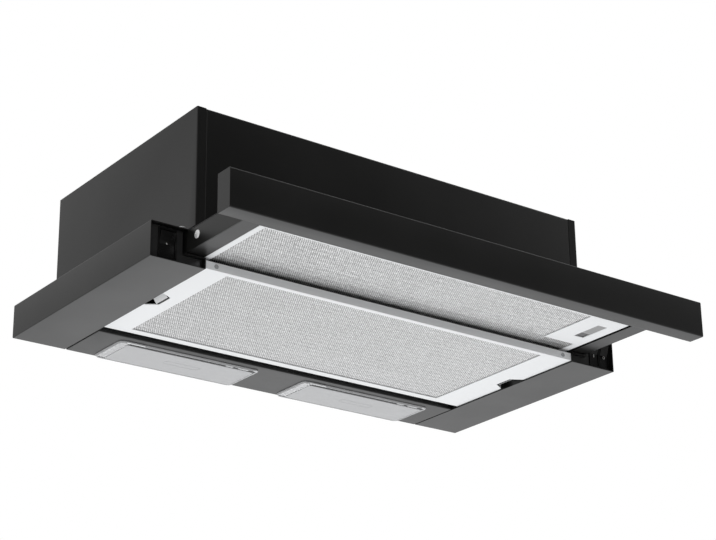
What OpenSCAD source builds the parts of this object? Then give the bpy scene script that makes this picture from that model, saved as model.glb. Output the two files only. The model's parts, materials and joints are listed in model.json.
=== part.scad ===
// Pull-out range hood for a 600 mm wall unit.
// Origin: centre of the four fixing holes, on the plane where the wings meet the wall unit.
// X runs along the hood, +Y points to the wall, +Z points up. Millimetres.
// At rest the visor stands part of the way out.

/* [Base] */
// Overall width, the same as the wall unit
base_w = 600; // [540:1:700]
// Depth from the front of the wings to the wall
base_d = 280; // [276:1:320]
// Height of the wings and the lamp strip under the wall unit
base_h = 37; // [36:0.5:44]
// Width of each wing on the underside
wing_w = 62.4; // [60:0.1:66]
// Depth of the strip that holds the lamps
strip_d = 71; // [66:0.5:72]
// Thickness of the folded steel sheet
sheet = 1; // [0.8:0.1:1.2]
// Height of the wing's inner wall, which carries the main filter
inner_wall_h = 12; // [11.5:0.1:12.3]
// Thickness of the plastic end covers of the wings
fascia_t = 2.5; // [2:0.1:3]
// How far the end covers stand back inside the wings
fascia_in = 5; // [4.8:0.1:8]
// Depth of the rim behind each end cover
fascia_rim = 8; // [5:0.5:12]
// Height of the small folds along the lamp strip
strip_lip = 10; // [6:0.5:11]

/* [Fixing holes] */
// Distance of the fixing holes from the hood's ends
fix_in = 16; // [14:0.5:20]
// Distance between the front and rear fixing holes
fix_span_y = 180; // [120:1:200]
// Diameter of the fixing holes in the wing tops
fix_d = 4.5; // [4:0.1:6]

/* [Upper box] */
// Distance of the upper box from the hood's ends
box_in = 48; // [46:0.5:51]
// Height of the upper box above the wing tops
box_h = 134; // [132:1:180]
// How far the box front stands ahead of the wings
box_overhang = 2; // [0.5:0.1:3]
// Gap under the front panel through which the visor slides
front_gap = 5; // [4:0.1:7]
// Width of the front fold on each side panel
side_fold_w = 10.5; // [8:0.1:14]
// Width of the hidden folds that join the panels
lap_w = 12; // [10:0.5:14]

/* [Visor] */
// How far the visor stands out in front of the wings at rest
visor_out = 117.3; // [100:0.1:120]
// Depth of the handle bar
bar_t = 20.4; // [16:0.1:24]
// Height of the handle bar
bar_h = 39.5; // [36:0.1:40.5]
// Height of the bar's lower edge above the underside of the wings
bar_rise = 0.7; // [0.5:0.1:1]
// Distance of the visor's side walls from the hood's ends
visor_in = 41.2; // [41:0.1:43]
// Height of the visor's underside above the underside of the wings
visor_rise = 12.8; // [12.7:0.1:13]
// Height of the visor tray
visor_h = 21.7; // [18:0.1:21.8]
// Length of the side arms behind the front of the wings
arm_reach = 150; // [140:1:155]
// Length of the cover plate behind the front of the wings
cover_reach = 30; // [24:0.5:40]
// Length of each runner block
runner_len = 90; // [60:1:95]
// Travel left between the rest position and the stop
visor_spare = 23; // [10:0.5:25]

/* [Main filter] */
// Depth of the main filter
filter_d = 198; // [190:0.5:200]
// Height of the main filter's folded rim
filter_h = 8.5; // [7:0.1:9]
// Height of the main filter's face above the underside of the wings
filter_rise = 1.5; // [1:0.1:2]
// Left border of the main filter
filter_left = 28; // [20:0.5:34]
// Right border of the main filter
filter_right = 39; // [30:0.5:44]
// Front border of the main filter
filter_front = 6; // [5:0.5:10]
// Rear border of the main filter
filter_rear = 10; // [8:0.5:14]
// Length of the finger notch at the filter's edge
notch_l = 40; // [30:1:50]
// Depth of the finger notch
notch_d = 14; // [10:0.5:16]
// Diameter of the pins that the main filter swings on
hinge_d = 4; // [3:0.1:4.5]

/* [Visor filter] */
// Width of the tray beside the visor filter
tray_border = 20.5; // [19.5:0.1:26]
// Gap at the visor filter's right end
vf_side_gap = 4; // [2:0.5:4]
// Depth of the visor filter
vf_d = 113.5; // [100:0.5:116]
// Height of the visor filter
vf_h = 7; // [5:0.1:8]
// Border round the visor filter's mesh
vf_border = 7; // [5:0.1:10]
// Front border of the visor filter's mesh
vf_front_border = 2; // [1.5:0.1:6]
// Width of the visor filter's end panel, which holds the latch
vf_end_w = 52; // [46:0.5:60]
// Width of the end panel beside its rear corner window
vf_corner_w = 9.5; // [8:0.5:14]
// Depth of the rear corner window, from the filter's rear edge
vf_corner_d = 37; // [30:0.5:42]
// Width of the latch slot
latch_w = 13; // [10:0.1:16]
// Length of the latch slot
latch_l = 38; // [32:0.5:42]
// Travel of the latch
latch_travel = 6; // [4:0.1:8]

/* [Filter mesh] */
// Width of one diamond in the filter mesh
cell_w = 24; // [22:0.5:40]
// Depth of one diamond in the filter mesh
cell_d = 20; // [18:0.5:30]
// Width of a strand between two diamonds
strand_w = 2; // [1.5:0.1:3]
// Thickness of the filter mesh
mesh_t = 1; // [0.8:0.1:1.2]
// Thickness of the pressed filter pad above the mesh
pad_t = 1.2; // [0.8:0.1:1.5]

/* [Lamps] */
// Length of each lamp lens
lens_w = 172.6; // [150:0.1:190]
// Depth of each lamp lens
lens_d = 59.5; // [50:0.1:60]
// Distance of each lens centre from the middle of the hood
lamp_x = 118.3; // [105:0.1:125]
// How far the lens stands below the lamp strip
lens_drop = 2; // [1:0.1:3]
// Diameter of the lamp bulb
bulb_d = 28; // [24:0.5:29]
// Length of the bulb's glass
bulb_l = 82; // [60:1:86]

/* [Switches] */
// Width of the lamp switch
lamp_switch_w = 19.6; // [15:0.1:20]
// Width of each fan switch
fan_switch_w = 14; // [12:0.1:14.5]
// Height of the switches
switch_h = 30.5; // [28:0.1:31]
// Depth of the switch bodies behind the end covers
switch_depth = 18; // [15:0.5:22]
// Rocking angle from off to on, in degrees
rock_angle = 16; // [10:1:20]

/* [Blower] */
// Radius of the blower wheel
wheel_r = 42; // [38:0.5:43]
// Length of the blower wheel
wheel_l = 78; // [60:1:84]
// Number of blades on the wheel
blade_count = 24; // [12:1:30]
// Radius of the inlets in the blower housing
inlet_r = 34; // [28:0.5:36]
// Radius of the motor
motor_r = 33; // [28:0.5:36]
// Length of the motor
motor_l = 52; // [40:1:60]
// Radius of the motor shaft
shaft_r = 4; // [3:0.1:5]

/* [Duct collar] */
// Outer diameter of the duct collar
collar_d = 119; // [110:0.5:125]
// Height of the duct collar above the box
collar_h = 36; // [28:0.5:60]
// Wall thickness of the duct collar
collar_t = 1.5; // [1.2:0.1:2]
// Bore of the cable gland
gland_bore_d = 7.2; // [6:0.1:9]

/* [Clearances] */
// Hairline between neighbouring pieces
gap = 0.3; // [0.2:0.05:0.35]
// Radial play of a shaft or pin in its hole
play = 0.05; // [0.03:0.01:0.08]

/* [Hidden] */
$fn = 48;

left = -1;
right = 1;
// Overrun of a cut past the face it opens
cut = 1;

// Planes of the base
half_w = base_w / 2;
front_y = -base_d / 2;
rear_y = base_d / 2;
under_z = -base_h;
wing_in = half_w - wing_w;
shelf_z = under_z + inner_wall_h;
strip_y = rear_y - strip_d;

fascia_y = front_y + fascia_in;
fascia_rim_t = 1.2;

// Planes of the upper box
box_half = half_w - box_in;
box_y = front_y - box_overhang;
top_in = box_half - lap_w;
lid_z = box_h - sheet;
panel_half = box_half - side_fold_w - gap;

// Planes of the visor
visor_half = half_w - visor_in;
visor_z = under_z + visor_rise;
cover_z = visor_z + visor_h;
bar_back_y = front_y - visor_out;
bar_front_y = bar_back_y - bar_t;
bar_z = under_z + bar_rise;
arm_y = front_y + arm_reach;
cover_y = front_y + cover_reach;
bar_wall = 1.2;
neck_x = visor_half + 2 * sheet;

// The rail's web keeps a runner between the visor's side wall and itself
rail_mouth = 1.7;
rail_in = visor_half + rail_mouth;
runner_t = 8.9;
rail_web_t = 1.2;
rail_out = visor_half + runner_t + rail_web_t + gap;
rail_play = 0.4;
rail_end_y = rear_y - sheet - gap;
runner_y = arm_y - runner_len;
rail_stop_y = runner_y - visor_spare - gap - rail_web_t;

// Visor filter
vf_hole_half = visor_half - tray_border;
vf_x0 = gap - vf_hole_half;
vf_x1 = vf_hole_half - gap - vf_side_gap;
tray_front = 23.6;
vf_y = bar_back_y + tray_front;
vf_end_y = vf_y + vf_d;
vf_mesh_right = vf_x1 - vf_end_w;
latch_share = 0.4;
latch_x = vf_x1 - latch_share * vf_end_w;
latch_start = 18;
latch_y = vf_y + latch_start;
latch_slack = 5;
latch_pad_l = latch_l - latch_travel - gap - latch_slack;
tab_w = 16;
tab_reach = 3;
tray_rear = 12;

// Main filter
mf_half = wing_in - 2 * gap;
mf_y = front_y + sheet;
mf_end_y = mf_y + filter_d;
mf_z = under_z + filter_rise;
mf_top_z = mf_z + filter_h;
hinge_inset = 5;
hinge_rise = 5.5;
hinge_y = mf_end_y - hinge_inset;
hinge_z = mf_z + hinge_rise;
hinge_r = hinge_d / 2;
pin_reach = 3.4;
notch_y = mf_y + filter_d / 2;
notch_in_share = 0.55;
mesh_lap = 4;
rivet_inset = 12;
rivet_x = mf_half - rivet_inset;
rivet_r = 2.4;
rivet_t = 0.6;
catch_t = 0.8;
catch_w = 8;
catch_back = 18;
catch_y = mf_y + catch_back;
catch_set = 3;
catch_in = mf_half - catch_set;
catch_z = mf_z + catch_set;

// Lamps
lens_inset = 10;
lens_y = strip_y + lens_inset;
lens_mid_y = lens_y + lens_d / 2;
lens_t = 1.8;
lens_r = 7;
lens_rim = 3.5;
lens_rim_h = 5;
lens_wall = 1.5;
lens_panel_in_x = 10.5;
lens_panel_in_y = 8.7;
reflector_t = 0.8;
reflector_inset = 2.5;
reflector_top = -sheet - 2 * gap;
bulb_z = (under_z + reflector_top) / 2 + sheet;
socket_l = 34;
socket_r = 13;
socket_out = 4;
socket_flange_t = 2;
socket_flange_lip = 1.5;
bulb_cap_r = 7;
bulb_cap_l = 20;
// The reflector's end that carries the socket, and the socket's outer end
lamp_end = lens_w / 2 - reflector_inset;
socket_end = lamp_end + socket_out;

// Switches
switch_mid_z = under_z / 2;
bezel_t = 1;
bezel_lap = 0.6;
lamp_switch_in = 21.3;
power_switch_in = 9.6;
speed_switch_in = 24.6;
lamp_switch_x = half_w - lamp_switch_in;
power_switch_x = half_w - power_switch_in;
speed_switch_x = half_w - speed_switch_in;
rocker_pivot = 5;
rocker_rim = 1.2;
rocker_swing = 1.3;
rocker_h = switch_h - 2 * (rocker_rim + rocker_swing);
rocker_end = 2;
switch_well = 15;

// Blower: a scroll round a wheel on an axis along X
scroll_near = 5;
scroll_far = 20;
scroll_r0 = wheel_r + scroll_near;
scroll_r1 = wheel_r + scroll_far;
tongue_a = 60;
front_a = -180;
wheel_room = 9;
housing_half = wheel_l / 2 + wheel_room;
housing_t = 1.5;
scroll_steps = 30;
neck_mid = (scroll_r0 * cos(tongue_a) - scroll_r1) / 2;
blower_y = -neck_mid;
blower_z = scroll_r1;
neck_flange = 8;
hub_r = 9;
blade_t = 1.2;
blade_sweep = 9;
ring_w = 7;
hub_half = 9;
rim_ring_t = 2;
wheel_disc_t = 2;
bracket_t = 2;
bracket_lip = 2;
bracket_ring_w = 8;
bracket_arm_w = 9;
bracket_hole_r = 10;
bracket_hub_share = 0.7;
motor_x = housing_half + bracket_t;
motor_boss_r = 12;
motor_boss_l = 6;
shaft_in = 18;
shaft_out = 12;

// Duct collar and damper
collar_r = collar_d / 2;
collar_in = collar_r - collar_t;
collar_flange = 12;
collar_flange_t = 1.5;
ledge_rise = 10;
ledge_z = box_h + ledge_rise;
ledge_t = 2;
ledge_w = 3.5;
pin_r = 1.5;
flap_t = 1.2;
hinge_line_z = ledge_z + ledge_t + gap + flap_t / 2;
flap_play = 1;
flap_r = collar_in - flap_play;
knuckle_t = 1.3;
knuckle_r = pin_r + knuckle_t;
knuckle_l = 14;
knuckle_gap = 2;
knuckle_step = knuckle_l + knuckle_gap;
flap_root = knuckle_r + 2 * gap;

// Electrical parts under the lid
term_w = 86;
term_d = 64;
term_h = 40;
term_in = 82;
term_x = term_in - box_half;
term_y = 30;
term_t = 2;
gland_r = 8;
gland_nut_r = 11;
gland_head = 8;
gland_tail = 12;
cap_r = 14;
cap_l = 52;
cap_in = 76;
cap_x = box_half - cap_in;
cap_y = 60;
screw_r = 3.4;
screw_h = 2;
wing_screw_out = 11;
wing_screw_back = 4;
visor_screw_r = 4.4;
visor_screw_h = 1.3;
visor_screw_fore = 17;
visor_screw_share = 0.6;
lid_screw_in = 24;

// A box from its lowest corner to its highest corner
module block(low, high) {
    translate(low) cube(high - low);
}

// Draws a right-hand piece, or its mirror image on the left
module on_side(side) {
    if (side < 0) mirror([1, 0, 0]) children();
    else children();
}

// A rod along X, centred on a point
module rod_x(r, length, at) {
    translate(at) rotate([0, 90, 0]) cylinder(r = r, h = length, center = true);
}

// A flat shape in Y and Z, made solid along X from x
module prism_x(x, length) {
    translate([x, 0, 0]) rotate([90, 0, 90]) linear_extrude(length) children();
}

// A flat shape in X and Z, made solid along +Y from y
module prism_y(y, length) {
    translate([0, y + length, 0]) rotate([90, 0, 0]) linear_extrude(length) children();
}

// A flat rectangle with round corners, centred
module round_rect(w, d, r) {
    square([w - 2 * r, d], center = true);
    square([w, d - 2 * r], center = true);
    for (sx = [-1, 1], sy = [-1, 1])
        translate([sx * (w / 2 - r), sy * (d / 2 - r)]) circle(r);
}

// A plate with a staggered lattice of diamond holes, from corner to corner
module mesh_plate(low, high) {
    span_x = high[0] - low[0];
    span_y = high[1] - low[1];
    nx = max(1, floor(span_x / cell_w));
    ny = max(1, floor(span_y / cell_d));
    pitch_x = span_x / nx;
    pitch_y = span_y / ny;
    half_x = pitch_x / 2 - strand_w;
    half_y = pitch_y / 2 - strand_w * pitch_y / pitch_x;
    translate(low) linear_extrude(high[2] - low[2]) difference() {
        square([span_x, span_y]);
        for (row = [1:2 * ny - 1], i = [0:nx - 1 - (1 - row % 2)])
            translate([(i + (row % 2 == 1 ? 0.5 : 1)) * pitch_x, row * pitch_y / 2])
                polygon([[-half_x, 0], [0, -half_y], [half_x, 0], [0, half_y]]);
    }
}

// Upper box

module top_panel() {
    color("dimgray") difference() {
        block([-box_half + sheet + gap, box_y + sheet + gap, lid_z],
              [box_half - sheet - gap, rear_y, box_h]);
        translate([0, 0, lid_z - cut]) cylinder(r = collar_in, h = sheet + 2 * cut);
        translate([term_x, term_y, lid_z - cut]) cylinder(r = gland_r + gap, h = sheet + 2 * cut);
    }
}

module front_panel() {
    low = front_gap;
    color("#1c1c1e") union() {
        block([-panel_half, box_y, low], [panel_half, box_y + sheet, lid_z]);
        block([-panel_half, box_y, lid_z - sheet], [panel_half, box_y + lap_w, lid_z]);
        block([-panel_half, box_y, low], [panel_half, box_y + lap_w, low + sheet]);
        for (side = [left, right]) on_side(side)
            block([panel_half - sheet, box_y, low], [panel_half, box_y + lap_w, lid_z]);
    }
}

module side_panel() {
    fold_y = box_y + lap_w + 2 * sheet;
    color("#242426") union() {
        block([box_half - sheet, front_y + lap_w, 0], [box_half, rear_y, box_h]);
        block([box_half - sheet, box_y, front_gap], [box_half, rear_y, box_h]);
        block([box_half - side_fold_w, box_y, front_gap], [box_half, box_y + sheet, box_h]);
        block([top_in, fold_y, lid_z - sheet],
              [box_half, rear_y - sheet - gap, lid_z]);
        block([top_in, front_y + lap_w, 0], [box_half, rear_y - sheet - gap, sheet]);
    }
}

module back_panel() {
    half = box_half - sheet - gap;
    color("#242426") block([-half, rear_y - sheet, 0], [half, rear_y, lid_z]);
}

// Base

module wing() {
    color("#2a2a2c") difference() {
        union() {
            block([wing_in, front_y, under_z], [half_w, rear_y, under_z + sheet]);
            block([half_w - sheet, front_y, under_z], [half_w, rear_y, 0]);
            block([top_in, front_y, -sheet], [half_w, rear_y, 0]);
            block([wing_in, front_y, under_z], [wing_in + sheet, rear_y, shelf_z]);
            block([wing_in, front_y, shelf_z - sheet], [neck_x, rear_y, shelf_z]);
            block([wing_in, rail_stop_y, shelf_z - sheet], [rail_out, rear_y, shelf_z]);
            block([wing_in, rear_y - sheet, under_z], [half_w, rear_y, 0]);
        }
        for (sy = [-1, 1])
            translate([half_w - fix_in, sy * fix_span_y / 2, -sheet - cut])
                cylinder(d = fix_d, h = sheet + 2 * cut);
        rod_x(hinge_r + play, 2 * (sheet + cut), [wing_in + sheet / 2, hinge_y, hinge_z]);
    }
}

// Outline of a wing's open front, in X and Z, drawn in by a margin
function wing_front(margin) = [
    [wing_in + sheet + margin, under_z + sheet + margin],
    [half_w - sheet - margin, under_z + sheet + margin],
    [half_w - sheet - margin, -sheet - margin],
    [neck_x + margin, -sheet - margin],
    [neck_x + margin, shelf_z - sheet - margin],
    [wing_in + sheet + margin, shelf_z - sheet - margin]
];

// End cover of a wing, with a window behind each switch
module fascia(windows) {
    back_y = fascia_y + fascia_t + fascia_rim;
    color("#0e0e10") difference() {
        prism_y(fascia_y, fascia_t + fascia_rim) polygon(wing_front(gap));
        prism_y(fascia_y + fascia_t, fascia_rim + cut) polygon(wing_front(gap + fascia_rim_t));
        for (w = windows)
            block([w[0] - w[1] / 2 - gap, fascia_y - cut, switch_mid_z - switch_h / 2 - gap],
                  [w[0] + w[1] / 2 + gap, back_y + cut, switch_mid_z + switch_h / 2 + gap]);
    }
}

module lamp_strip() {
    half = wing_in - gap;
    color("#2a2a2c") difference() {
        union() {
            block([-half, strip_y, under_z], [half, rear_y, under_z + sheet]);
            block([-half, rear_y - sheet, under_z], [half, rear_y, 0]);
            block([-half, strip_y, under_z], [half, strip_y + sheet, under_z + strip_lip]);
            for (side = [left, right]) on_side(side)
                block([half - sheet, strip_y, under_z], [half, rear_y, under_z + strip_lip]);
        }
        for (side = [left, right])
            translate([side * lamp_x, lens_mid_y, under_z - cut])
                linear_extrude(sheet + 2 * cut)
                    square([lens_w - 2 * lens_rim, lens_d - 2 * lens_rim], center = true);
    }
}

module guide_rail() {
    color("silver") union() {
        block([rail_out - rail_web_t, rail_stop_y, shelf_z], [rail_out, rail_end_y, -sheet]);
        block([rail_in, rail_stop_y, shelf_z], [rail_out, rail_end_y, shelf_z + rail_web_t]);
        block([rail_in, rail_stop_y, -sheet - rail_web_t], [rail_out, rail_end_y, -sheet]);
        block([rail_in, rail_stop_y, shelf_z], [rail_out, rail_stop_y + rail_web_t, -sheet]);
    }
}

// Lamps

module lamp_lens() {
    rim_w = lens_w - 2 * lens_rim - 2 * gap;
    rim_d = lens_d - 2 * lens_rim - 2 * gap;
    panel_w = lens_w - 2 * lens_panel_in_x;
    panel_d = lens_d - 2 * lens_panel_in_y;
    color([0.85, 0.87, 0.9, 0.6]) translate([lamp_x, lens_mid_y, under_z]) union() {
        translate([0, 0, -lens_t]) linear_extrude(lens_t) round_rect(lens_w, lens_d, lens_r);
        translate([0, 0, -lens_drop]) linear_extrude(lens_drop)
            round_rect(panel_w, panel_d, lens_r / 2);
        linear_extrude(lens_rim_h) difference() {
            square([rim_w, rim_d], center = true);
            square([rim_w - 2 * lens_wall, rim_d - 2 * lens_wall], center = true);
        }
    }
}

module lamp_reflector() {
    w = lens_w - 2 * reflector_inset;
    d = lens_d - 2 * reflector_inset;
    base_z = under_z + sheet;
    color("gainsboro") translate([lamp_x, lens_mid_y, 0]) difference() {
        block([-w / 2, -d / 2, base_z], [w / 2, d / 2, reflector_top]);
        block([-w / 2 + reflector_t, -d / 2 + reflector_t, base_z - cut],
              [w / 2 - reflector_t, d / 2 - reflector_t, reflector_top - reflector_t]);
        rod_x(socket_r + gap, 2 * (reflector_t + cut), [w / 2, 0, bulb_z]);
    }
}

module lamp_socket() {
    color("ivory") translate([lamp_x, lens_mid_y, bulb_z]) difference() {
        union() {
            rod_x(socket_r, socket_l, [socket_end - socket_l / 2, 0, 0]);
            rod_x(socket_r + socket_flange_lip, socket_flange_t, [lamp_end + socket_flange_t / 2, 0, 0]);
        }
        rod_x(bulb_cap_r + gap, bulb_cap_l + cut,
              [socket_end - socket_l + (bulb_cap_l - cut) / 2, 0, 0]);
    }
}

// Glass of the bulb: radius along its length, as shares of the two
bulb_profile_shares = [[0, 0.5], [0.12, 0.62], [0.3, 0.92], [0.45, 1], [0.6, 0.94],
                       [0.8, 0.66], [0.94, 0.3], [1, 0]];

module lamp_bulb() {
    root = socket_end - socket_l;
    color("white") translate([lamp_x + root - gap, lens_mid_y, bulb_z]) rotate([0, -90, 0]) union() {
        rotate_extrude() polygon(concat([[0, 0]],
            [for (p = bulb_profile_shares) [p[1] * bulb_d / 2, p[0] * bulb_l]]));
        translate([0, 0, gap - bulb_cap_l]) cylinder(r = bulb_cap_r, h = bulb_cap_l);
    }
}

// Switches: w is the width of the switch, x its middle

module switch_body(x, w) {
    opening_w = w - 2 * rocker_rim;
    opening_h = switch_h - 2 * rocker_rim;
    color("#151517") translate([x, fascia_y, switch_mid_z]) difference() {
        union() {
            block([-w / 2, 0, -switch_h / 2], [w / 2, switch_depth, switch_h / 2]);
            block([-w / 2 - gap, -bezel_t, -switch_h / 2 - bezel_lap],
                  [w / 2 + gap, 0, switch_h / 2 + bezel_lap]);
        }
        block([-opening_w / 2, -bezel_t - cut, -opening_h / 2],
              [opening_w / 2, switch_well, opening_h / 2]);
        rod_x(pin_r + play, w + 2 * cut, [0, rocker_pivot, 0]);
    }
}

module rocker(x, w) {
    face_w = w - 2 * rocker_rim - 2 * gap;
    half = rocker_h / 2;
    tilt = rock_angle / 2;
    color("#101012") translate([x, fascia_y + rocker_pivot, switch_mid_z]) union() {
        rotate([tilt, 0, 0]) prism_x(-face_w / 2, face_w) polygon([
            [-rocker_pivot - rocker_end, -half], [-rocker_pivot, 0], [-rocker_pivot - rocker_end, half],
            [-rocker_pivot / 2, half], [rocker_pivot, half / 4], [rocker_pivot, -half / 4],
            [-rocker_pivot / 2, -half]]);
        rod_x(pin_r, w - gap, [0, 0, 0]);
    }
}

// Blower

// Outline of the scroll in Y and Z, drawn in by a margin; the neck rises to top
function scroll_r(a) = scroll_r0 + (scroll_r1 - scroll_r0) * (tongue_a - a) / (tongue_a - front_a);
function scroll(margin, top) = concat(
    [[scroll_r0 * cos(tongue_a) - margin, top]],
    [for (i = [0:scroll_steps])
        let (a = tongue_a + (front_a - tongue_a) * i / scroll_steps, r = scroll_r(a) - margin)
        [r * cos(a), r * sin(a)]],
    [[-scroll_r1 + margin, top]]
);

module blower_housing() {
    top = lid_z - blower_z;
    low_y = -scroll_r1;
    high_y = scroll_r0 * cos(tongue_a);
    color("#3a3c40") translate([0, blower_y, blower_z]) difference() {
        union() {
            prism_x(0, housing_half) polygon(scroll(0, top));
            block([0, low_y - neck_flange, top - 2 * housing_t],
                  [housing_half + neck_flange, high_y + neck_flange, top]);
        }
        prism_x(-cut, housing_half - housing_t + cut) polygon(scroll(housing_t, top + cut));
        rod_x(inlet_r, 2 * (housing_t + cut), [housing_half, 0, 0]);
    }
}

// One blade in Y and Z: a strip across the rim whose angle grows with the square of its way out
module blade() {
    inner = wheel_r - ring_w + gap;
    function at(t, turn) = let (r = inner + t * (ring_w - 2 * gap), a = blade_sweep * t * t + turn)
        [r * cos(a), r * sin(a)];
    half = blade_t / wheel_r * 90 / PI;
    steps = [0:0.25:1];
    polygon(concat([for (t = steps) at(t, -half)], [for (t = steps) at(1 - t, half)]));
}

module blower_wheel() {
    inner = wheel_r - ring_w;
    color("lightgray") translate([0, blower_y, blower_z]) union() {
        for (x = [-wheel_l / 2, wheel_l / 2 - rim_ring_t])
            prism_x(x, rim_ring_t) difference() {
                circle(wheel_r);
                circle(inner);
            }
        prism_x(-wheel_disc_t / 2, wheel_disc_t) difference() {
            circle(wheel_r - ring_w / 2);
            circle(shaft_r + play);
        }
        prism_x(-hub_half, 2 * hub_half) difference() {
            circle(hub_r);
            circle(shaft_r + play);
        }
        prism_x((rim_ring_t - wheel_l) / 2, wheel_l - rim_ring_t)
            for (i = [0:blade_count - 1]) rotate(i * 360 / blade_count) blade();
    }
}

module motor_shaft() {
    far = motor_x + motor_l + shaft_out;
    color("silver") rod_x(shaft_r, far + shaft_in, [(far - shaft_in) / 2, blower_y, blower_z]);
}

module motor() {
    full_l = motor_l + motor_boss_l;
    color("#8a8d92") translate([0, blower_y, blower_z]) difference() {
        union() {
            rod_x(motor_r, motor_l, [motor_x + motor_l / 2, 0, 0]);
            rod_x(motor_boss_r, motor_boss_l, [motor_x + motor_l + motor_boss_l / 2, 0, 0]);
        }
        rod_x(shaft_r + play, full_l + 2 * cut, [motor_x + full_l / 2, 0, 0]);
    }
}

// A ring round the inlet whose three arms carry the motor
module motor_bracket() {
    ring_in = inlet_r + bracket_lip;
    ring_out = ring_in + bracket_ring_w;
    color("silver") translate([0, blower_y, blower_z]) prism_x(housing_half, bracket_t) difference() {
        union() {
            difference() {
                circle(ring_out);
                circle(ring_in);
            }
            circle(motor_r * bracket_hub_share);
            for (a = [90, 210, 330]) rotate(a) translate([0, -bracket_arm_w / 2])
                square([(ring_in + ring_out) / 2, bracket_arm_w]);
        }
        circle(bracket_hole_r);
    }
}

// Duct collar and damper

module duct_collar() {
    color("#1c1c1e") difference() {
        union() {
            translate([0, 0, box_h]) cylinder(r = collar_r + collar_flange, h = collar_flange_t);
            translate([0, 0, box_h]) cylinder(r = collar_r, h = collar_h);
        }
        translate([0, 0, box_h - cut]) cylinder(r = collar_in - ledge_w, h = collar_h + 2 * cut);
        translate([0, 0, ledge_z + ledge_t]) cylinder(r = collar_in, h = collar_h);
        translate([0, 0, box_h - cut]) cylinder(r = collar_in, h = ledge_z - box_h + cut);
        rod_x(pin_r + play, collar_d + 2 * cut, [0, 0, hinge_line_z]);
    }
}

module damper_pin() {
    color("silver") rod_x(pin_r, 2 * (collar_r - gap), [0, 0, hinge_line_z]);
}

// A half-round flap on the -Y side; knuckles sit at the distances given
module damper_flap(knuckle_xs) {
    color("gray") translate([0, 0, hinge_line_z]) difference() {
        union() {
            translate([0, 0, -flap_t / 2]) linear_extrude(flap_t) difference() {
                circle(flap_r);
                translate([-2 * flap_r, -flap_root]) square(4 * flap_r);
            }
            for (x = knuckle_xs) {
                rod_x(knuckle_r, knuckle_l, [x, 0, 0]);
                block([x - knuckle_l / 2, -flap_root - sheet, -flap_t / 2],
                      [x + knuckle_l / 2, 0, flap_t / 2]);
            }
        }
        rod_x(pin_r + play, 3 * flap_r, [0, 0, 0]);
    }
}

// Electrical parts

module cable_gland() {
    color("#202024") translate([term_x, term_y, 0]) difference() {
        union() {
            translate([0, 0, lid_z - gland_tail]) cylinder(r = gland_r, h = gland_tail + sheet);
            translate([0, 0, box_h]) cylinder(r = gland_nut_r, h = gland_head / 2, $fn = 6);
            translate([0, 0, box_h]) cylinder(r = gland_r, h = gland_head);
        }
        translate([0, 0, lid_z - gland_tail - cut])
            cylinder(d = gland_bore_d, h = gland_tail + gland_head + sheet + 2 * cut);
    }
}

module terminal_box() {
    color("ivory") translate([term_x, term_y, lid_z]) difference() {
        block([-term_w / 2, -term_d / 2, -term_h], [term_w / 2, term_d / 2, 0]);
        block([-term_w / 2 + term_t, -term_d / 2 + term_t, -term_h - cut],
              [term_w / 2 - term_t, term_d / 2 - term_t, -term_t]);
        translate([0, 0, -term_t - cut]) cylinder(r = gland_r + gap, h = term_t + 2 * cut);
    }
}

module terminal_box_lid() {
    color("ivory") translate([term_x, term_y, lid_z - term_h])
        block([-term_w / 2, -term_d / 2, -term_t], [term_w / 2, term_d / 2, 0]);
}

module capacitor() {
    saddle_w = 12;
    color("whitesmoke") translate([cap_x, cap_y, lid_z]) union() {
        translate([0, 0, -cap_r - sheet]) rotate([90, 0, 0])
            cylinder(r = cap_r, h = cap_l, center = true);
        block([-cap_r / 2, -saddle_w / 2, -cap_r], [cap_r / 2, saddle_w / 2, 0]);
    }
}

// Visor

// Hollow handle bar, open at the back where it meets the tray
module visor_bar() {
    color("#1a1a1c") difference() {
        block([-half_w, bar_front_y, bar_z], [half_w, bar_back_y, bar_z + bar_h]);
        block([-half_w + bar_wall, bar_front_y + bar_wall, bar_z + bar_wall],
              [half_w - bar_wall, bar_back_y - bar_wall, bar_z + bar_h - bar_wall]);
        block([-visor_half + lap_w, bar_back_y - 2 * bar_wall, visor_z + 2 * sheet],
              [visor_half - lap_w, bar_back_y + cut, cover_z - 2 * sheet]);
    }
}

module visor_tray() {
    half = visor_half - sheet;
    back_y = vf_end_y + tray_rear;
    color("#1e1e20") union() {
        for (side = [left, right]) on_side(side)
            block([vf_hole_half, bar_back_y, visor_z], [half, back_y, visor_z + sheet]);
        block([-half, bar_back_y, visor_z], [half, bar_back_y + sheet, cover_z]);
        block([-half, bar_back_y, visor_z], [half, vf_y - gap, visor_z + sheet]);
        block([-half, vf_end_y + gap, visor_z], [half, back_y, visor_z + sheet]);
    }
}

module visor_arm() {
    color("#1e1e20")
        block([visor_half - sheet, bar_back_y, visor_z], [visor_half, arm_y, cover_z]);
}

module visor_cover() {
    color("#1e1e20") block([-visor_half, bar_back_y, cover_z], [visor_half, cover_y, cover_z + sheet]);
}

module visor_screws() {
    color("silver") for (side = [left, right]) on_side(side)
        rod_x(visor_screw_r, visor_screw_h,
              [visor_half + visor_screw_h / 2, front_y - visor_screw_fore,
               visor_z + visor_h * visor_screw_share]);
}

module visor_runner() {
    color("ivory") block([visor_half, runner_y, shelf_z + rail_web_t + rail_play],
                         [visor_half + runner_t, arm_y, -sheet - rail_web_t - rail_play]);
}

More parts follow.
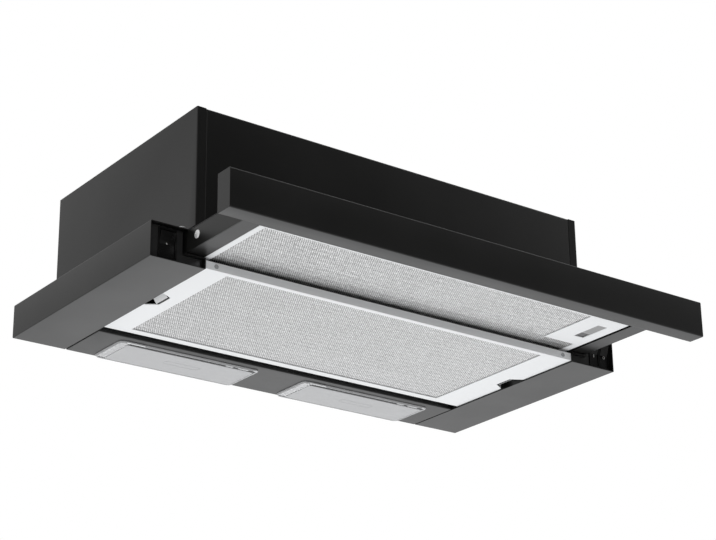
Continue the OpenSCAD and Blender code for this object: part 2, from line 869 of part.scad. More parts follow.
module visor_filter_frame() {
    bolt_half = latch_w / 4 + gap;
    color("#e9eaec") difference() {
        union() {
            block([vf_x0, vf_y, visor_z], [vf_x1, vf_end_y, visor_z + vf_h]);
            for (x = [vf_x0 / 2, vf_x1 / 2])
                block([x - tab_w / 2, vf_end_y, visor_z + sheet + gap],
                      [x + tab_w / 2, vf_end_y + tab_reach, visor_z + 2 * sheet + gap]);
        }
        block([vf_x0 + sheet, vf_y + sheet, visor_z + sheet],
              [vf_x1 - sheet, vf_end_y - sheet, visor_z + vf_h + cut]);
        block([vf_x0 + vf_border, vf_y + vf_front_border, visor_z - cut],
              [vf_mesh_right, vf_end_y - vf_border, visor_z + sheet + cut]);
        block([vf_x0 + vf_border, vf_end_y - vf_corner_d, visor_z - cut],
              [vf_x1 - vf_corner_w, vf_end_y - vf_border, visor_z + sheet + cut]);
        block([latch_x - latch_w / 2, latch_y, visor_z - cut],
              [latch_x + latch_w / 2, latch_y + latch_l, visor_z + sheet + cut]);
        block([latch_x - bolt_half, vf_y - cut, visor_z + sheet],
              [latch_x + bolt_half, vf_y + sheet + cut, visor_z + 3 * sheet]);
    }
}

// Far corners of the visor filter's window and of its rear corner window
vf_lap_x0 = vf_x0 + vf_border - mesh_lap;
vf_lap_x1 = vf_mesh_right + mesh_lap;
vf_corner_x1 = vf_x1 - vf_corner_w + mesh_lap;
vf_lap_y0 = vf_y + vf_front_border - gap;
vf_lap_y1 = vf_end_y - vf_border + mesh_lap;
vf_corner_y0 = vf_end_y - vf_corner_d - mesh_lap;

module visor_filter_mesh() {
    z = visor_z + sheet;
    color("silver") union() {
        mesh_plate([vf_lap_x0, vf_lap_y0, z], [vf_lap_x1, vf_lap_y1, z + mesh_t]);
        mesh_plate([vf_lap_x1 - strand_w, vf_corner_y0, z], [vf_corner_x1, vf_lap_y1, z + mesh_t]);
    }
}

module visor_filter_pad() {
    z = visor_z + sheet + mesh_t;
    color("gray") union() {
        block([vf_lap_x0, vf_lap_y0, z], [vf_lap_x1, vf_lap_y1, z + pad_t]);
        block([vf_lap_x1 - strand_w, vf_corner_y0, z], [vf_corner_x1, vf_lap_y1, z + pad_t]);
    }
}

// Latch: a pad in the slot and a bolt that reaches over the tray's front edge
module visor_latch() {
    z = visor_z + sheet + gap;
    color("#b0b2b4") union() {
        block([latch_x - latch_w / 2 - sheet, latch_y - sheet, z],
              [latch_x + latch_w / 2 + sheet, latch_y + latch_l - latch_travel, z + sheet]);
        block([latch_x - latch_w / 2 + gap, latch_y + gap, visor_z + gap],
              [latch_x + latch_w / 2 - gap, latch_y + latch_pad_l, z]);
        block([latch_x - latch_w / 4, vf_y - tab_reach - gap, z],
              [latch_x + latch_w / 4, latch_y, z + sheet]);
    }
}

// Main filter

// The notch in plan on the +X edge, drawn out by a margin
function notch(margin) = [
    [mf_half + cut, notch_y - notch_l / 2 - margin],
    [mf_half - notch_d, notch_y - notch_l / 2 * notch_in_share - margin],
    [mf_half - notch_d, notch_y + notch_l / 2 * notch_in_share + margin],
    [mf_half + cut, notch_y + notch_l / 2 + margin]
];

module main_filter_frame() {
    slot_half = catch_w / 2 + sheet;
    color("#eeeff0") difference() {
        union() {
            difference() {
                block([-mf_half, mf_y, mf_z], [mf_half, mf_end_y, mf_top_z]);
                block([-mf_half + sheet, mf_y + sheet, mf_z + sheet],
                      [mf_half - sheet, mf_end_y - sheet, mf_top_z + cut]);
                block([-mf_half + filter_left, mf_y + filter_front, mf_z - cut],
                      [mf_half - filter_right, mf_end_y - filter_rear, mf_z + sheet + cut]);
            }
            for (side = [left, right])
                rod_x(hinge_r, pin_reach + sheet,
                      [side * (mf_half + (pin_reach - sheet) / 2), hinge_y, hinge_z]);
        }
        for (side = [left, right]) on_side(side) {
            translate([0, 0, mf_z - cut]) linear_extrude(filter_h + 2 * cut) polygon(notch(0));
            block([mf_half - 2 * sheet, catch_y - slot_half, catch_z],
                  [mf_half + cut, catch_y + slot_half, mf_top_z + cut]);
        }
    }
}

module main_filter_mesh() {
    color("silver") mesh_plate(
        [-mf_half + filter_left - mesh_lap, mf_y + filter_front - mesh_lap / 2, mf_z + sheet],
        [mf_half - filter_right + mesh_lap, mf_end_y - filter_rear + mesh_lap, mf_z + sheet + mesh_t]);
}

module main_filter_pad() {
    z = mf_z + sheet + mesh_t;
    color("gray") block(
        [-mf_half + filter_left - mesh_lap, mf_y + filter_front - mesh_lap / 2, z],
        [mf_half - filter_right + mesh_lap, mf_end_y - filter_rear + mesh_lap, z + pad_t]);
}

module filter_rivets() {
    color("silver") for (side = [left, right])
        translate([side * rivet_x, mf_y, mf_z + filter_h / 2]) rotate([90, 0, 0])
            cylinder(r = rivet_r, h = rivet_t);
}

// Sprung strips inside the front corners that hold the filter up
module filter_catches() {
    low = catch_z + gap;
    high = mf_top_z - gap;
    color("silver") for (side = [left, right]) on_side(side) union() {
        block([rivet_x - 2 * rivet_r, mf_y + sheet, low], [catch_in, mf_y + sheet + catch_t, high]);
        block([catch_in - catch_t, mf_y + sheet, low], [catch_in, catch_y + catch_w / 2, high]);
        block([catch_in - catch_t, catch_y - catch_w / 2, low],
              [mf_half, catch_y + catch_w / 2, high]);
    }
}

// Screw heads on the lid, on the collar's flange and on the wing tops
module body_screws() {
    flange_r = collar_r + collar_flange / 2;
    flange_top = box_h + collar_flange_t;
    color("silver") union() {
        for (sx = [-1, 1], sy = [-1, 0, 1])
            translate([sx * (box_half - lap_w / 2), sy * (base_d / 2 - lid_screw_in), box_h])
                cylinder(r = screw_r, h = screw_h);
        for (a = [45, 135, 225, 315]) rotate(a) translate([flange_r, 0, flange_top])
            cylinder(r = screw_r, h = screw_h);
        for (sx = [-1, 1])
            translate([sx * (box_half + wing_screw_out), front_y + wing_screw_back, 0])
                cylinder(r = screw_r, h = screw_h);
    }
}

top_panel();
front_panel();
on_side(left) side_panel();  // side_panel_left
on_side(right) side_panel();  // side_panel_right
back_panel();
on_side(left) wing();  // wing_left
on_side(right) wing();  // wing_right
on_side(left) fascia([[lamp_switch_x, lamp_switch_w]]);  // fascia_left
on_side(right) fascia([[power_switch_x, fan_switch_w], [speed_switch_x, fan_switch_w]]);  // fascia_right
lamp_strip();
on_side(left) guide_rail();  // guide_rail_left
on_side(right) guide_rail();  // guide_rail_right
on_side(left) lamp_lens();  // lamp_lens_left
on_side(right) lamp_lens();  // lamp_lens_right
on_side(left) lamp_reflector();  // lamp_reflector_left
on_side(right) lamp_reflector();  // lamp_reflector_right
on_side(left) lamp_bulb();  // lamp_bulb_left
on_side(right) lamp_bulb();  // lamp_bulb_right
on_side(left) lamp_socket();  // lamp_socket_left
on_side(right) lamp_socket();  // lamp_socket_right
switch_body(-lamp_switch_x, lamp_switch_w);  // lamp_switch_body
switch_body(power_switch_x, fan_switch_w);  // power_switch_body
switch_body(speed_switch_x, fan_switch_w);  // speed_switch_body
rocker(-lamp_switch_x, lamp_switch_w);  // lamp_rocker
rocker(power_switch_x, fan_switch_w);  // power_rocker
rocker(speed_switch_x, fan_switch_w);  // speed_rocker
on_side(left) blower_housing();  // blower_housing_left
on_side(right) blower_housing();  // blower_housing_right
blower_wheel();
motor_shaft();
motor();
motor_bracket();
duct_collar();
damper_pin();
damper_flap([-2.5 * knuckle_step, 0.5 * knuckle_step]);  // damper_flap_front
rotate(180) damper_flap([-1.5 * knuckle_step, 1.5 * knuckle_step]);  // damper_flap_rear
cable_gland();
terminal_box();
terminal_box_lid();
capacitor();
visor_bar();
visor_tray();
on_side(left) visor_arm();  // visor_arm_left
on_side(right) visor_arm();  // visor_arm_right
visor_cover();
visor_screws();
on_side(left) visor_runner();  // visor_runner_left
on_side(right) visor_runner();  // visor_runner_right
visor_filter_frame();
visor_filter_mesh();
visor_filter_pad();
visor_latch();
main_filter_frame();
main_filter_mesh();
main_filter_pad();
filter_rivets();
filter_catches();
body_screws();
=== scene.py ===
# %% [markdown]
# # A pull-out range hood
#
# A hood like this hangs under a wall unit and is looked at from below. What shows is folded
# steel sheet with a satin black coat, two grease filters of expanded aluminium in white frames,
# two clear lamp lenses, and a handle bar that draws a visor out of the body.
#
# The construction already exists as a frame of solids in real places. This lesson dresses
# those solids: it rounds their folds, swaps plain stand-ins for finer pieces, and makes the
# finishes. The frame is loaded first, because every place below is read from it.

import json
from math import cos, pi, radians, sin

import bmesh
import bpy
import numpy as np
from mathutils import Matrix, Vector
from mathutils.bvhtree import BVHTree


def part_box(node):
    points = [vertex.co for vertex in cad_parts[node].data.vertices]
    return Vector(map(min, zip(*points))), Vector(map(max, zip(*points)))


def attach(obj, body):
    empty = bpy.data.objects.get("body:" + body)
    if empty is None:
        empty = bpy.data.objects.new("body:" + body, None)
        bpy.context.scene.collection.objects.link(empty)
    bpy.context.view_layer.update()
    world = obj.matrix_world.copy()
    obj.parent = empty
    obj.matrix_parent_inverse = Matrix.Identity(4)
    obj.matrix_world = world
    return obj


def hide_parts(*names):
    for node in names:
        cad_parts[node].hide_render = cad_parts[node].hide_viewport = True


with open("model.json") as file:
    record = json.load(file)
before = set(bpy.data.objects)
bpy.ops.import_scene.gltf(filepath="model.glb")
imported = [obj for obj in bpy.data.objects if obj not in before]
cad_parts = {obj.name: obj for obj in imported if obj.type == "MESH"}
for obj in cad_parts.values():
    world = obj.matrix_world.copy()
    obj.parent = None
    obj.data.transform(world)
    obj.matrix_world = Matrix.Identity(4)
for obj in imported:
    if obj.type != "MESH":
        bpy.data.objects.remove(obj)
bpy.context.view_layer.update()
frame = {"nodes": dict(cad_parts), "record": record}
MM = 0.001
record = frame["record"]
BODY_OF = {node: body for body, nodes in record["behaviour"]["bodies"].items() for node in nodes}
SLOT_OF = {row["node"]: row["material_slot"] for row in record["subparts"]}

# %% [markdown]
# ## A small language for finishes
#
# A finish is a tree of shader nodes. Wiring each node by hand takes many lines and hides the
# idea, so a socket is wrapped in a class that knows arithmetic: `1 - mask * 0.3` adds the Math
# nodes by itself. Every other node comes from one method, which sets the node's options first
# and then the values or wires of its sockets.

# %% Wires and finishes
class Wire:
    """One output socket. Arithmetic on it adds Math nodes to its finish."""

    def __init__(self, finish, socket):
        self.finish = finish
        self.socket = socket

    def maths(self, operation, *values):
        return self.finish.node("Math", {"operation": operation}, dict(enumerate(values)))

    def __add__(self, other):
        return self.maths("ADD", self, other)

    def __sub__(self, other):
        return self.maths("SUBTRACT", self, other)

    def __rsub__(self, other):
        return self.maths("SUBTRACT", other, self)

    def __mul__(self, other):
        return self.maths("MULTIPLY", self, other)

    __radd__ = __add__
    __rmul__ = __mul__


class Tree:
    """A shader tree, with one method that adds any node to it."""

    PLACE = "Object"

    def __init__(self, tree):
        self.tree = tree
        self.place = self.node("TexCoord", out=self.PLACE)

    def node(self, kind, settings=None, sockets=None, out=0):
        made = self.tree.nodes.new("ShaderNode" + kind)
        for name, value in (settings or {}).items():
            setattr(made, name, value)
        for key, value in (sockets or {}).items():
            self.feed(made.inputs[key], value)
        return Wire(self, made.outputs[out])

    def feed(self, socket, value):
        if isinstance(value, Wire):
            self.tree.links.new(value.socket, socket)
        else:
            socket.default_value = value

    def ramp(self, value, low, high, to_low=0.0, to_high=1.0, curve="LINEAR"):
        return self.node("MapRange", {"interpolation_type": curve}, {
            "Value": value, "From Min": low, "From Max": high, "To Min": to_low, "To Max": to_high})


class Finish(Tree):
    """A material in the making: one Principled surface and the nodes that feed it."""

    def __init__(self, name, constants):
        self.material = bpy.data.materials.new(name)
        self.material.use_nodes = True
        super().__init__(self.material.node_tree)
        self.surface = self.tree.nodes["Principled BSDF"]
        for label, value in constants.items():
            self.surface.inputs[label].default_value = value

    def noise(self, size, detail=2.0, stretch=(1, 1, 1)):
        """Clouds from 0 to 1 whose lumps are about one size across, in metres."""
        where = self.node("Mapping", {}, {"Vector": self.place, "Scale": stretch})
        return self.node("TexNoise", {}, {"Vector": where, "Scale": 1 / size, "Detail": detail})

    def blend(self, mask, dark, light):
        colours = {0: mask, 6: (*dark, 1), 7: (*light, 1)}
        return self.node("Mix", {"data_type": "RGBA"}, colours, out=2)

    def around(self, clouds, middle, below, above):
        """A value that drifts from below to above its middle with the clouds."""
        return self.ramp(clouds, *CLOUD_RANGE, middle - below, middle + above)

    def bump(self, height, depth):
        """A relief of the given depth in metres on the surface's normal."""
        relief = self.node("Bump", {}, {"Height": height, "Distance": depth, "Strength": 1.0})
        self.feed(self.surface.inputs["Normal"], relief)

    def set(self, **wires):
        for label, wire in wires.items():
            self.feed(self.surface.inputs[label.replace("_", " ")], wire)


CLOUD_RANGE = (0.3, 0.7)  # where nearly all values of a noise lie


def grey(level):
    return [level] * 3


print("finish language ready")

# %% [markdown]
# ## Satin black powder coat
#
# Powder coat is a thin plastic skin that flows in an oven. It keeps a fine orange peel, and its
# gloss drifts a little over a panel. The real panels look almost black from the front and mid
# grey from below, and that is the sheen at a low angle, not a second colour, so one dark
# base with a smooth relief gives both.

# %% Powder coat and black mouldings
def powder_coat(name, tone, roughness, peel=0.9 * MM):
    coat = Finish(name, {"IOR": 1.46})
    drift = coat.noise(90 * MM, detail=3.0)
    orange_peel = coat.noise(peel, detail=1.0)
    speck = coat.ramp(coat.noise(0.35 * MM, detail=0.0), 0.66, 0.78)
    dark = [tone * 0.85, tone * 0.84, tone * 0.8]
    light = [tone * 1.2, tone * 1.19, tone * 1.14]
    coat.set(Base_Color=coat.blend(drift, dark, light),
             Roughness=coat.around(drift, roughness, 0.03, 0.03) + speck * 0.06)
    coat.bump(orange_peel, 0.008 * MM)
    return coat.material


def black_moulding(name, tone, roughness, grain, ior=1.49):
    moulding = Finish(name, {"IOR": ior})
    texture = moulding.noise(grain, detail=1.0)
    drift = moulding.noise(14 * MM)
    moulding.set(Base_Color=moulding.blend(drift, grey(tone * 0.8), grey(tone * 1.25)),
                 Roughness=moulding.around(drift, roughness, 0.05, 0.05))
    moulding.bump(texture, 0.01 * MM)
    return moulding.material


print("black finishes ready")

# %% [markdown]
# ## Bright metals
#
# Zinc-plated steel shows soft crystals, so a Voronoi pattern shifts its gloss from cell to
# cell. Rolled aluminium has fine lines along the roll, so its noise is stretched along X.

# %% Zinc, aluminium and bright screws
def zinc_plate(name, tone, roughness, metal=1.0, crystal=6 * MM):
    zinc = Finish(name, {"Metallic": metal})
    crystals = zinc.node("TexVoronoi", {"feature": "F1"},
                         {"Vector": zinc.place, "Scale": 1 / crystal}, out="Color")
    shade = zinc.node("SeparateColor", {}, {"Color": crystals})
    fine = zinc.noise(1.5 * MM)
    gloss = zinc.ramp(shade, 0.0, 1.0, roughness - 0.07, roughness + 0.07)
    zinc.set(Base_Color=zinc.blend(shade, grey(tone * 0.82), grey(tone)),
             Roughness=gloss + fine * 0.05)
    zinc.bump(fine, 0.006 * MM)
    return zinc.material


def rolled_aluminium(name, tone, roughness):
    sheet = Finish(name, {"Metallic": 1.0})
    lines = sheet.noise(0.8 * MM, detail=2.0, stretch=(0.04, 1, 1))
    drift = sheet.noise(25 * MM)
    sheet.set(Base_Color=sheet.blend(drift, grey(tone * 0.88), grey(tone)),
              Roughness=sheet.around(lines, roughness, 0.05, 0.07))
    sheet.bump(lines, 0.004 * MM)
    return sheet.material


def expanded_aluminium(name, tone, roughness):
    """Bright foil, slit and drawn: the cut strands vary a little in tone and gloss, and small
    flecks in the colour are painted glints.
    """
    foil = Finish(name, {"Metallic": 0.7})
    strand = foil.ramp(foil.noise(3.4 * MM, detail=1.0), 0.32, 0.68)
    # Painted glints: small flecks that lighten the colour where the twisted strands would catch the
    # light.
    glint = foil.ramp(foil.noise(1.5 * MM, detail=0.0), 0.36, 0.64)
    drift = foil.noise(38 * MM, detail=2.0)
    shine = strand * 0.35 + glint * 0.45 + drift * 0.2
    foil.set(Base_Color=foil.blend(shine, grey(tone * 0.62), grey(tone * 1.2)),
             Roughness=foil.ramp(strand, 0.0, 1.0, roughness - 0.08, roughness + 0.08))
    return foil.material


print("metal finishes ready")

# %% [markdown]
# ## White coat, clear plastic, ivory plastic and glass
#
# The filter frames have a thin white coat that is slightly cool. The lamp lenses are one clear
# moulding whose raised panel is frosted. What makes its parts differ is what lies behind them,
# the bright reflector or the dark steel, so one plastic is used with a painted tone for each part:
# the tones paint the light and shade that come through the lens. Ivory and nylon let a little
# light in under their skin, which keeps them from looking like paint.

# %% Pale finishes
def white_coat(name):
    coat = Finish(name, {"IOR": 1.5})
    drift = coat.noise(60 * MM, detail=3.0)
    peel = coat.noise(1.1 * MM, detail=1.0)
    coat.set(Base_Color=coat.blend(drift, (0.82, 0.83, 0.84), (0.86, 0.87, 0.88)),
             Roughness=coat.around(drift, 0.4, 0.04, 0.04))
    coat.bump(peel, 0.006 * MM)
    return coat.material


def clear_plastic(name, tone, roughness, passes):
    plastic = Finish(name, {"IOR": 1.49, "Transmission Weight": passes})
    flow = plastic.noise(12 * MM, stretch=(0.4, 1, 1))
    frost = plastic.noise(0.7 * MM)
    dark, light = [tone * 0.92, tone * 0.93, tone * 0.94], [tone, tone, tone * 1.02]
    plastic.set(Base_Color=plastic.blend(flow, dark, light),
                Roughness=plastic.around(frost, roughness, roughness * 0.15, roughness * 0.15))
    plastic.bump(frost, 0.01 * MM)
    return plastic.material


def pale_moulding(name, dark, light, roughness):
    moulding = Finish(name, {"IOR": 1.5, "Subsurface Weight": 0.05, "Subsurface Scale": 0.002})
    drift = moulding.noise(16 * MM)
    grain = moulding.noise(0.6 * MM)
    moulding.set(Base_Color=moulding.blend(drift, dark, light),
                 Roughness=moulding.around(grain, roughness, 0.04, 0.06))
    moulding.bump(grain, 0.008 * MM)
    return moulding.material


FINISH = {
    "black_steel": powder_coat("black_powder_coat", 0.006, 0.34),
    "galvanised": zinc_plate("zinc_plate", 0.62, 0.36),
    "zinc_screw": zinc_plate("bright_zinc", 0.86, 0.2),
    "gloss_black": black_moulding("gloss_black_moulding", 0.022, 0.22, 0.9 * MM),
    "switch_black": black_moulding("switch_black_moulding", 0.007, 0.22, 0.5 * MM, 1.32),
    "clear_lens": clear_plastic("frosted_lens", 0.6, 0.34, 0.25),
    "reflector": rolled_aluminium("reflector_sheet", 0.88, 0.22),
    "bulb_glass": clear_plastic("frosted_bulb_glass", 0.9, 0.4, 0.4),
    "ivory_plastic": pale_moulding("ivory_moulding", (0.66, 0.62, 0.5), (0.74, 0.7, 0.58), 0.42),
    "grey_plastic": black_moulding("dark_grey_moulding", 0.045, 0.45, 0.7 * MM),
    "nylon": pale_moulding("natural_nylon", (0.66, 0.65, 0.58), (0.74, 0.73, 0.67), 0.36),
    "filter_white": white_coat("white_filter_coat"),
    "filter_mesh": expanded_aluminium("expanded_aluminium", 0.79, 0.4),
    # The pad's nearly black tone paints the shade inside the filter behind its nets.
    "filter_pad": expanded_aluminium("pad_aluminium_painted_shade", 0.05, 0.5),
    "latch_grey": black_moulding("grey_latch_moulding", 0.33, 0.45, 0.6 * MM),
    "damper_sheet": rolled_aluminium("damper_aluminium", 0.7, 0.33),
}
print("finishes:", len(FINISH))

# %% [markdown]
# ## Rounding the folds
#
# Sheet steel is never bent to a knife edge. Each solid of the frame has sharp corners, so a copy
# of it gets a Bevel modifier, and the copy stands for the solid. Flat triangles are dissolved
# first, because a bevel needs clean edges. The bevel follows an angle limit, so that the
# facets of a round wall stay as they are. The long outer folds of a sheet get a wider radius
# than its cut edges, and that radius is what draws a thin light line along the real folds.

# %% Softened copies of solids
FOLD_ANGLE = radians(28)  # an edge that is sharper than this is a fold
SHEET_ANGLE = radians(60)  # an edge between two faces of a bent sheet
FLAT_ANGLE = radians(0.5)  # triangles of one flat face
MERGE = 0.002 * MM
FOLD_LEAST = 60 * MM
FACE_LEAST = 8 * MM


def bend_long_folds(solid, radius):
    """Rounds the edges that two wide faces share over a long way."""
    folds = []
    for edge in solid.edges:
        length = edge.calc_length()
        if length < FOLD_LEAST or len(edge.link_faces) != 2:
            continue
        narrow = min(face.calc_area() for face in edge.link_faces) / length
        if edge.calc_face_angle_signed(0) > SHEET_ANGLE and narrow > FACE_LEAST:
            folds.append(edge)
    if folds:
        bmesh.ops.bevel(solid, geom=folds, offset=radius, segments=4, affect="EDGES", profile=0.5)


def clean_mesh(node, fold=0.0, shape=None):
    """The solid's mesh with its triangles merged back into flat faces."""
    mesh = frame["nodes"][node].data.copy()
    solid = bmesh.new()
    solid.from_mesh(mesh)
    bmesh.ops.remove_doubles(solid, verts=solid.verts, dist=MERGE)
    bmesh.ops.dissolve_limit(solid, angle_limit=FLAT_ANGLE, verts=solid.verts, edges=solid.edges)
    if shape:
        shape(solid)
    if fold:
        bend_long_folds(solid, fold)
    solid.to_mesh(mesh)
    solid.free()
    return mesh


def add_piece(name, mesh, node, material=None, replace=False):
    """Puts a mesh in the scene as a piece of this node's body."""
    piece = bpy.data.objects.new(name, mesh)
    bpy.context.collection.objects.link(piece)
    mesh.materials.clear()
    mesh.materials.append(material or FINISH[SLOT_OF[node]])
    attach(piece, BODY_OF[node])
    if replace:
        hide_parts(node)
    return piece


def round_edges(piece, radius, segments=2):
    """Smooth shading and a bevel on every edge sharper than a facet."""
    piece.data.polygons.foreach_set("use_smooth", [True] * len(piece.data.polygons))
    piece.data.set_sharp_from_angle(angle=FOLD_ANGLE)
    bevel = piece.modifiers.new("folds", "BEVEL")
    bevel.width = radius
    bevel.segments = segments
    bevel.limit_method = "ANGLE"
    bevel.angle_limit = FOLD_ANGLE
    bevel.harden_normals = True
    return piece


def soften(node, radius, fold=0.0, shape=None):
    """Stands a copy with rounded folds in a solid's place."""
    mesh = clean_mesh(node, fold, shape)
    return round_edges(add_piece(node + "_finished", mesh, node, replace=True), radius)


SEAM = 0.9 * MM


def open_seams(solid):
    """Draws the strip's ends back, so that a dark seam shows beside the wings as on the hood."""
    end = max(vertex.co.x for vertex in solid.verts)
    for vertex in solid.verts:
        if abs(vertex.co.x) > end - SEAM:
            vertex.co.x -= np.sign(vertex.co.x) * SEAM


SOFT_NODES = (  # radius of the edges, radius of the long folds, nodes
    (0.3 * MM, 1.1 * MM, ("side_panel_left", "side_panel_right", "wing_left", "wing_right",
                          "front_panel", "visor_tray", "visor_cover")),
    (0.25 * MM, 0.45 * MM, ("main_filter_frame", "visor_filter_frame")),
    (0.3 * MM, 1.1 * MM, ("lamp_strip",)),
    (0.3 * MM, 1.4 * MM, ("visor_bar",)),
    (0.4 * MM, 0.0, ("top_panel", "visor_arm_left", "visor_arm_right")),
    (0.9 * MM, 0.0, ("terminal_box", "terminal_box_lid", "visor_runner_left",
                     "visor_runner_right")),
    (0.3 * MM, 0.0, ("fascia_left", "fascia_right", "lamp_switch_body", "power_switch_body",
                     "speed_switch_body", "guide_rail_left", "guide_rail_right", "motor_bracket",
                     "duct_collar", "cable_gland", "damper_flap_front", "damper_flap_rear",
                     "filter_catches", "motor", "lamp_reflector_left", "lamp_reflector_right",
                     "blower_housing_left", "blower_housing_right")),
    (0.5 * MM, 0.0, ("lamp_rocker", "power_rocker", "speed_rocker", "lamp_socket_left",
                     "lamp_socket_right", "capacitor", "motor_shaft")),
)
for edge_radius, fold_radius, fold_nodes in SOFT_NODES:
    for fold_node in fold_nodes:
        shape = open_seams if fold_node == "lamp_strip" else None
        soften(fold_node, edge_radius, fold_radius, shape)
print("softened:", sum(len(fold_nodes) for _, _, fold_nodes in SOFT_NODES))

# %% [markdown]
# ## Shapes cut from outlines
#
# Most small mouldings are an outline with a thickness. A slab fills an outline, a ring leaves
# its middle open, and a ridge is a small roof, as on a prism or a thumb grip. All are built face
# by face, which keeps their edges clean for the bevel that follows. A boolean would leave more
# to clean up.

# %% Outline, slab, ring and ridge
def outline(low, high, radius, steps=5):
    """Points round a rectangle with round corners, counter-clockwise from its rear right one. The
    radius is one number, or four."""
    points = []
    radii = np.broadcast_to(radius, 4)
    for corner, (sx, sy) in enumerate(((1, 1), (-1, 1), (-1, -1), (1, -1))):
        r = float(radii[corner])
        x = high[0] - r if sx > 0 else low[0] + r
        y = high[1] - r if sy > 0 else low[1] + r
        for step in range(steps + 1):
            turn = (corner + step / steps) * pi / 2
            points.append((x + r * cos(turn), y + r * sin(turn)))
    return points


def walls(count, first, second):
    """Quads that join ring number first to ring number second, each of count points."""
    return [(first * count + i, first * count + (i + 1) % count, second * count + (i + 1) % count,
             second * count + i) for i in range(count)]


def new_mesh(name, points, faces):
    mesh = bpy.data.meshes.new(name)
    mesh.from_pydata(points, [], faces)
    return mesh


def slab_mesh(name, points, bottom, top):
    count = len(points)
    corners = [(x, y, z) for z in (bottom, top) for x, y in points]
    ends = [tuple(range(count))[::-1], tuple(range(count, 2 * count))]
    return new_mesh(name, corners, walls(count, 0, 1) + ends)


def ring_mesh(name, outer, inner, bottom, top, foot=None):
    """A ring between two outlines; a foot is another outer outline at its top."""
    rings = ((outer, bottom), (foot or outer, top), (inner, top), (inner, bottom))
    corners = [(x, y, z) for points, z in rings for x, y in points]
    faces = [face for first in range(4) for face in walls(len(outer), first, (first + 1) % 4)]
    return new_mesh(name, corners, faces)


def ridge(low, high, base, top, slope=0.0):
    """Points and faces of a roof along X, whose top line starts a slope's length in."""
    (x0, y0), (x1, y1) = low, high
    middle = (y0 + y1) / 2
    points = [(x0, y0, base), (x1, y0, base), (x1, y1, base), (x0, y1, base),
              (x0 + slope, middle, top), (x1, middle, top)]
    return points, [(0, 1, 5, 4), (1, 2, 5), (2, 3, 4, 5), (3, 0, 4), (3, 2, 1, 0)]


def joined_mesh(name, parts):
    """One mesh from several lists of points and faces."""
    points, faces = [], []
    for part_points, part_faces in parts:
        faces += [tuple(i + len(points) for i in face) for face in part_faces]
        points += part_points
    return new_mesh(name, points, faces)


print("outline helpers ready")

# %% [markdown]
# ## Lamp lenses
#
# Each lens is one clear moulding. Its rim lies on the steel, a channel runs round the inside of
# the rim, and a frosted panel stands out in the middle with a faint raised frame on it. Short
# prisms at one end spread the light, and small tabs in the channel take a fingernail. A box with
# a texture would lose the bright rim and the dark line of the channel, so the parts are separate
# slabs, and each gets a tone of the same clear plastic that paints the light or shade it shows:
# the rim lighter, the channel darker, and a groove along the front of the panel nearly black as
# painted shadow. Bright tabs are painted glow: they stand where the clear corners of the real lens
# pipe the light out.

# %% Lenses
LENS_HIGH = 1.9 * MM
LENS_RIM = Vector((2.2, 2.2)) * MM
LENS_LEAN = Vector((1.3, 1.3)) * MM  # how far the rim's face lies inside its foot
LENS_TIP = 2.6 * MM
LENS_CORNERS = np.array([7, 7, 7, 1.6]) * MM
CHANNEL_DEPTH = 1.3 * MM
PANEL_FROM_LEFT = 12.6 * MM
PANEL_FROM_RIGHT = 2.5 * MM
PANEL_FROM_FRONT = 7.4 * MM
PANEL_FROM_REAR = 2.5 * MM
PANEL_RISE = 0.15 * MM
GROOVE = Vector((0, 1.6)) * MM
GROOVE_DEPTH = 0.6 * MM
MARK_SHIFT = Vector((2, -1)) * MM
MARK_HALF = Vector((22, 4.5)) * MM
MARK_LINE = Vector((0.9, 0.9)) * MM
TAB_WIDE = 2.2 * MM
OVERLAP = 0.2 * MM  # how far a piece reaches into the one it stands on
PRISMS = 12
PRISM_SHARE = 0.72
PRISM_SLOPE = 1.5 * MM
# The tones of these finishes paint the light and shade seen through the lens: lighter where light
# from the reflector comes through, darker where the steel lies behind.
LENS_CLEAR = clear_plastic("clear_lens_tab", 0.74, 0.16, 0.3)
LENS_EDGE = clear_plastic("clear_lens_edge", 0.56, 0.16, 0.3)
LENS_CHANNEL = clear_plastic("clear_lens_channel", 0.26, 0.3, 0.2)
# A nearly black tone of the clear plastic paints the shadow in the groove along the panel's front
# edge.
LENS_GROOVE_SHADE = clear_plastic("clear_lens_groove_painted_shade", 0.07, 0.3, 0.2)
# This finish paints glow: a near-white tone that lets no light through, for the spots where the
# clear corners of the lens pipe the light out.
LENS_PAINTED_GLOW = clear_plastic("lens_painted_glow", 0.94, 0.2, 0.0)
# The last two rows, clip and tip, are bright spots in the painted-glow finish, not parts of the
# lens.
LENS_TABS = (  # name, start and end from the right rim, distance from the front rim, finish
    ("tab", 25, 11, 2.9, LENS_CLEAR), ("catch", 41, 31, 2.9, LENS_CLEAR),
    ("clip", 167, 144, 0.4, LENS_PAINTED_GLOW), ("tip", 6.5, 0.6, 0.5, LENS_PAINTED_GLOW))


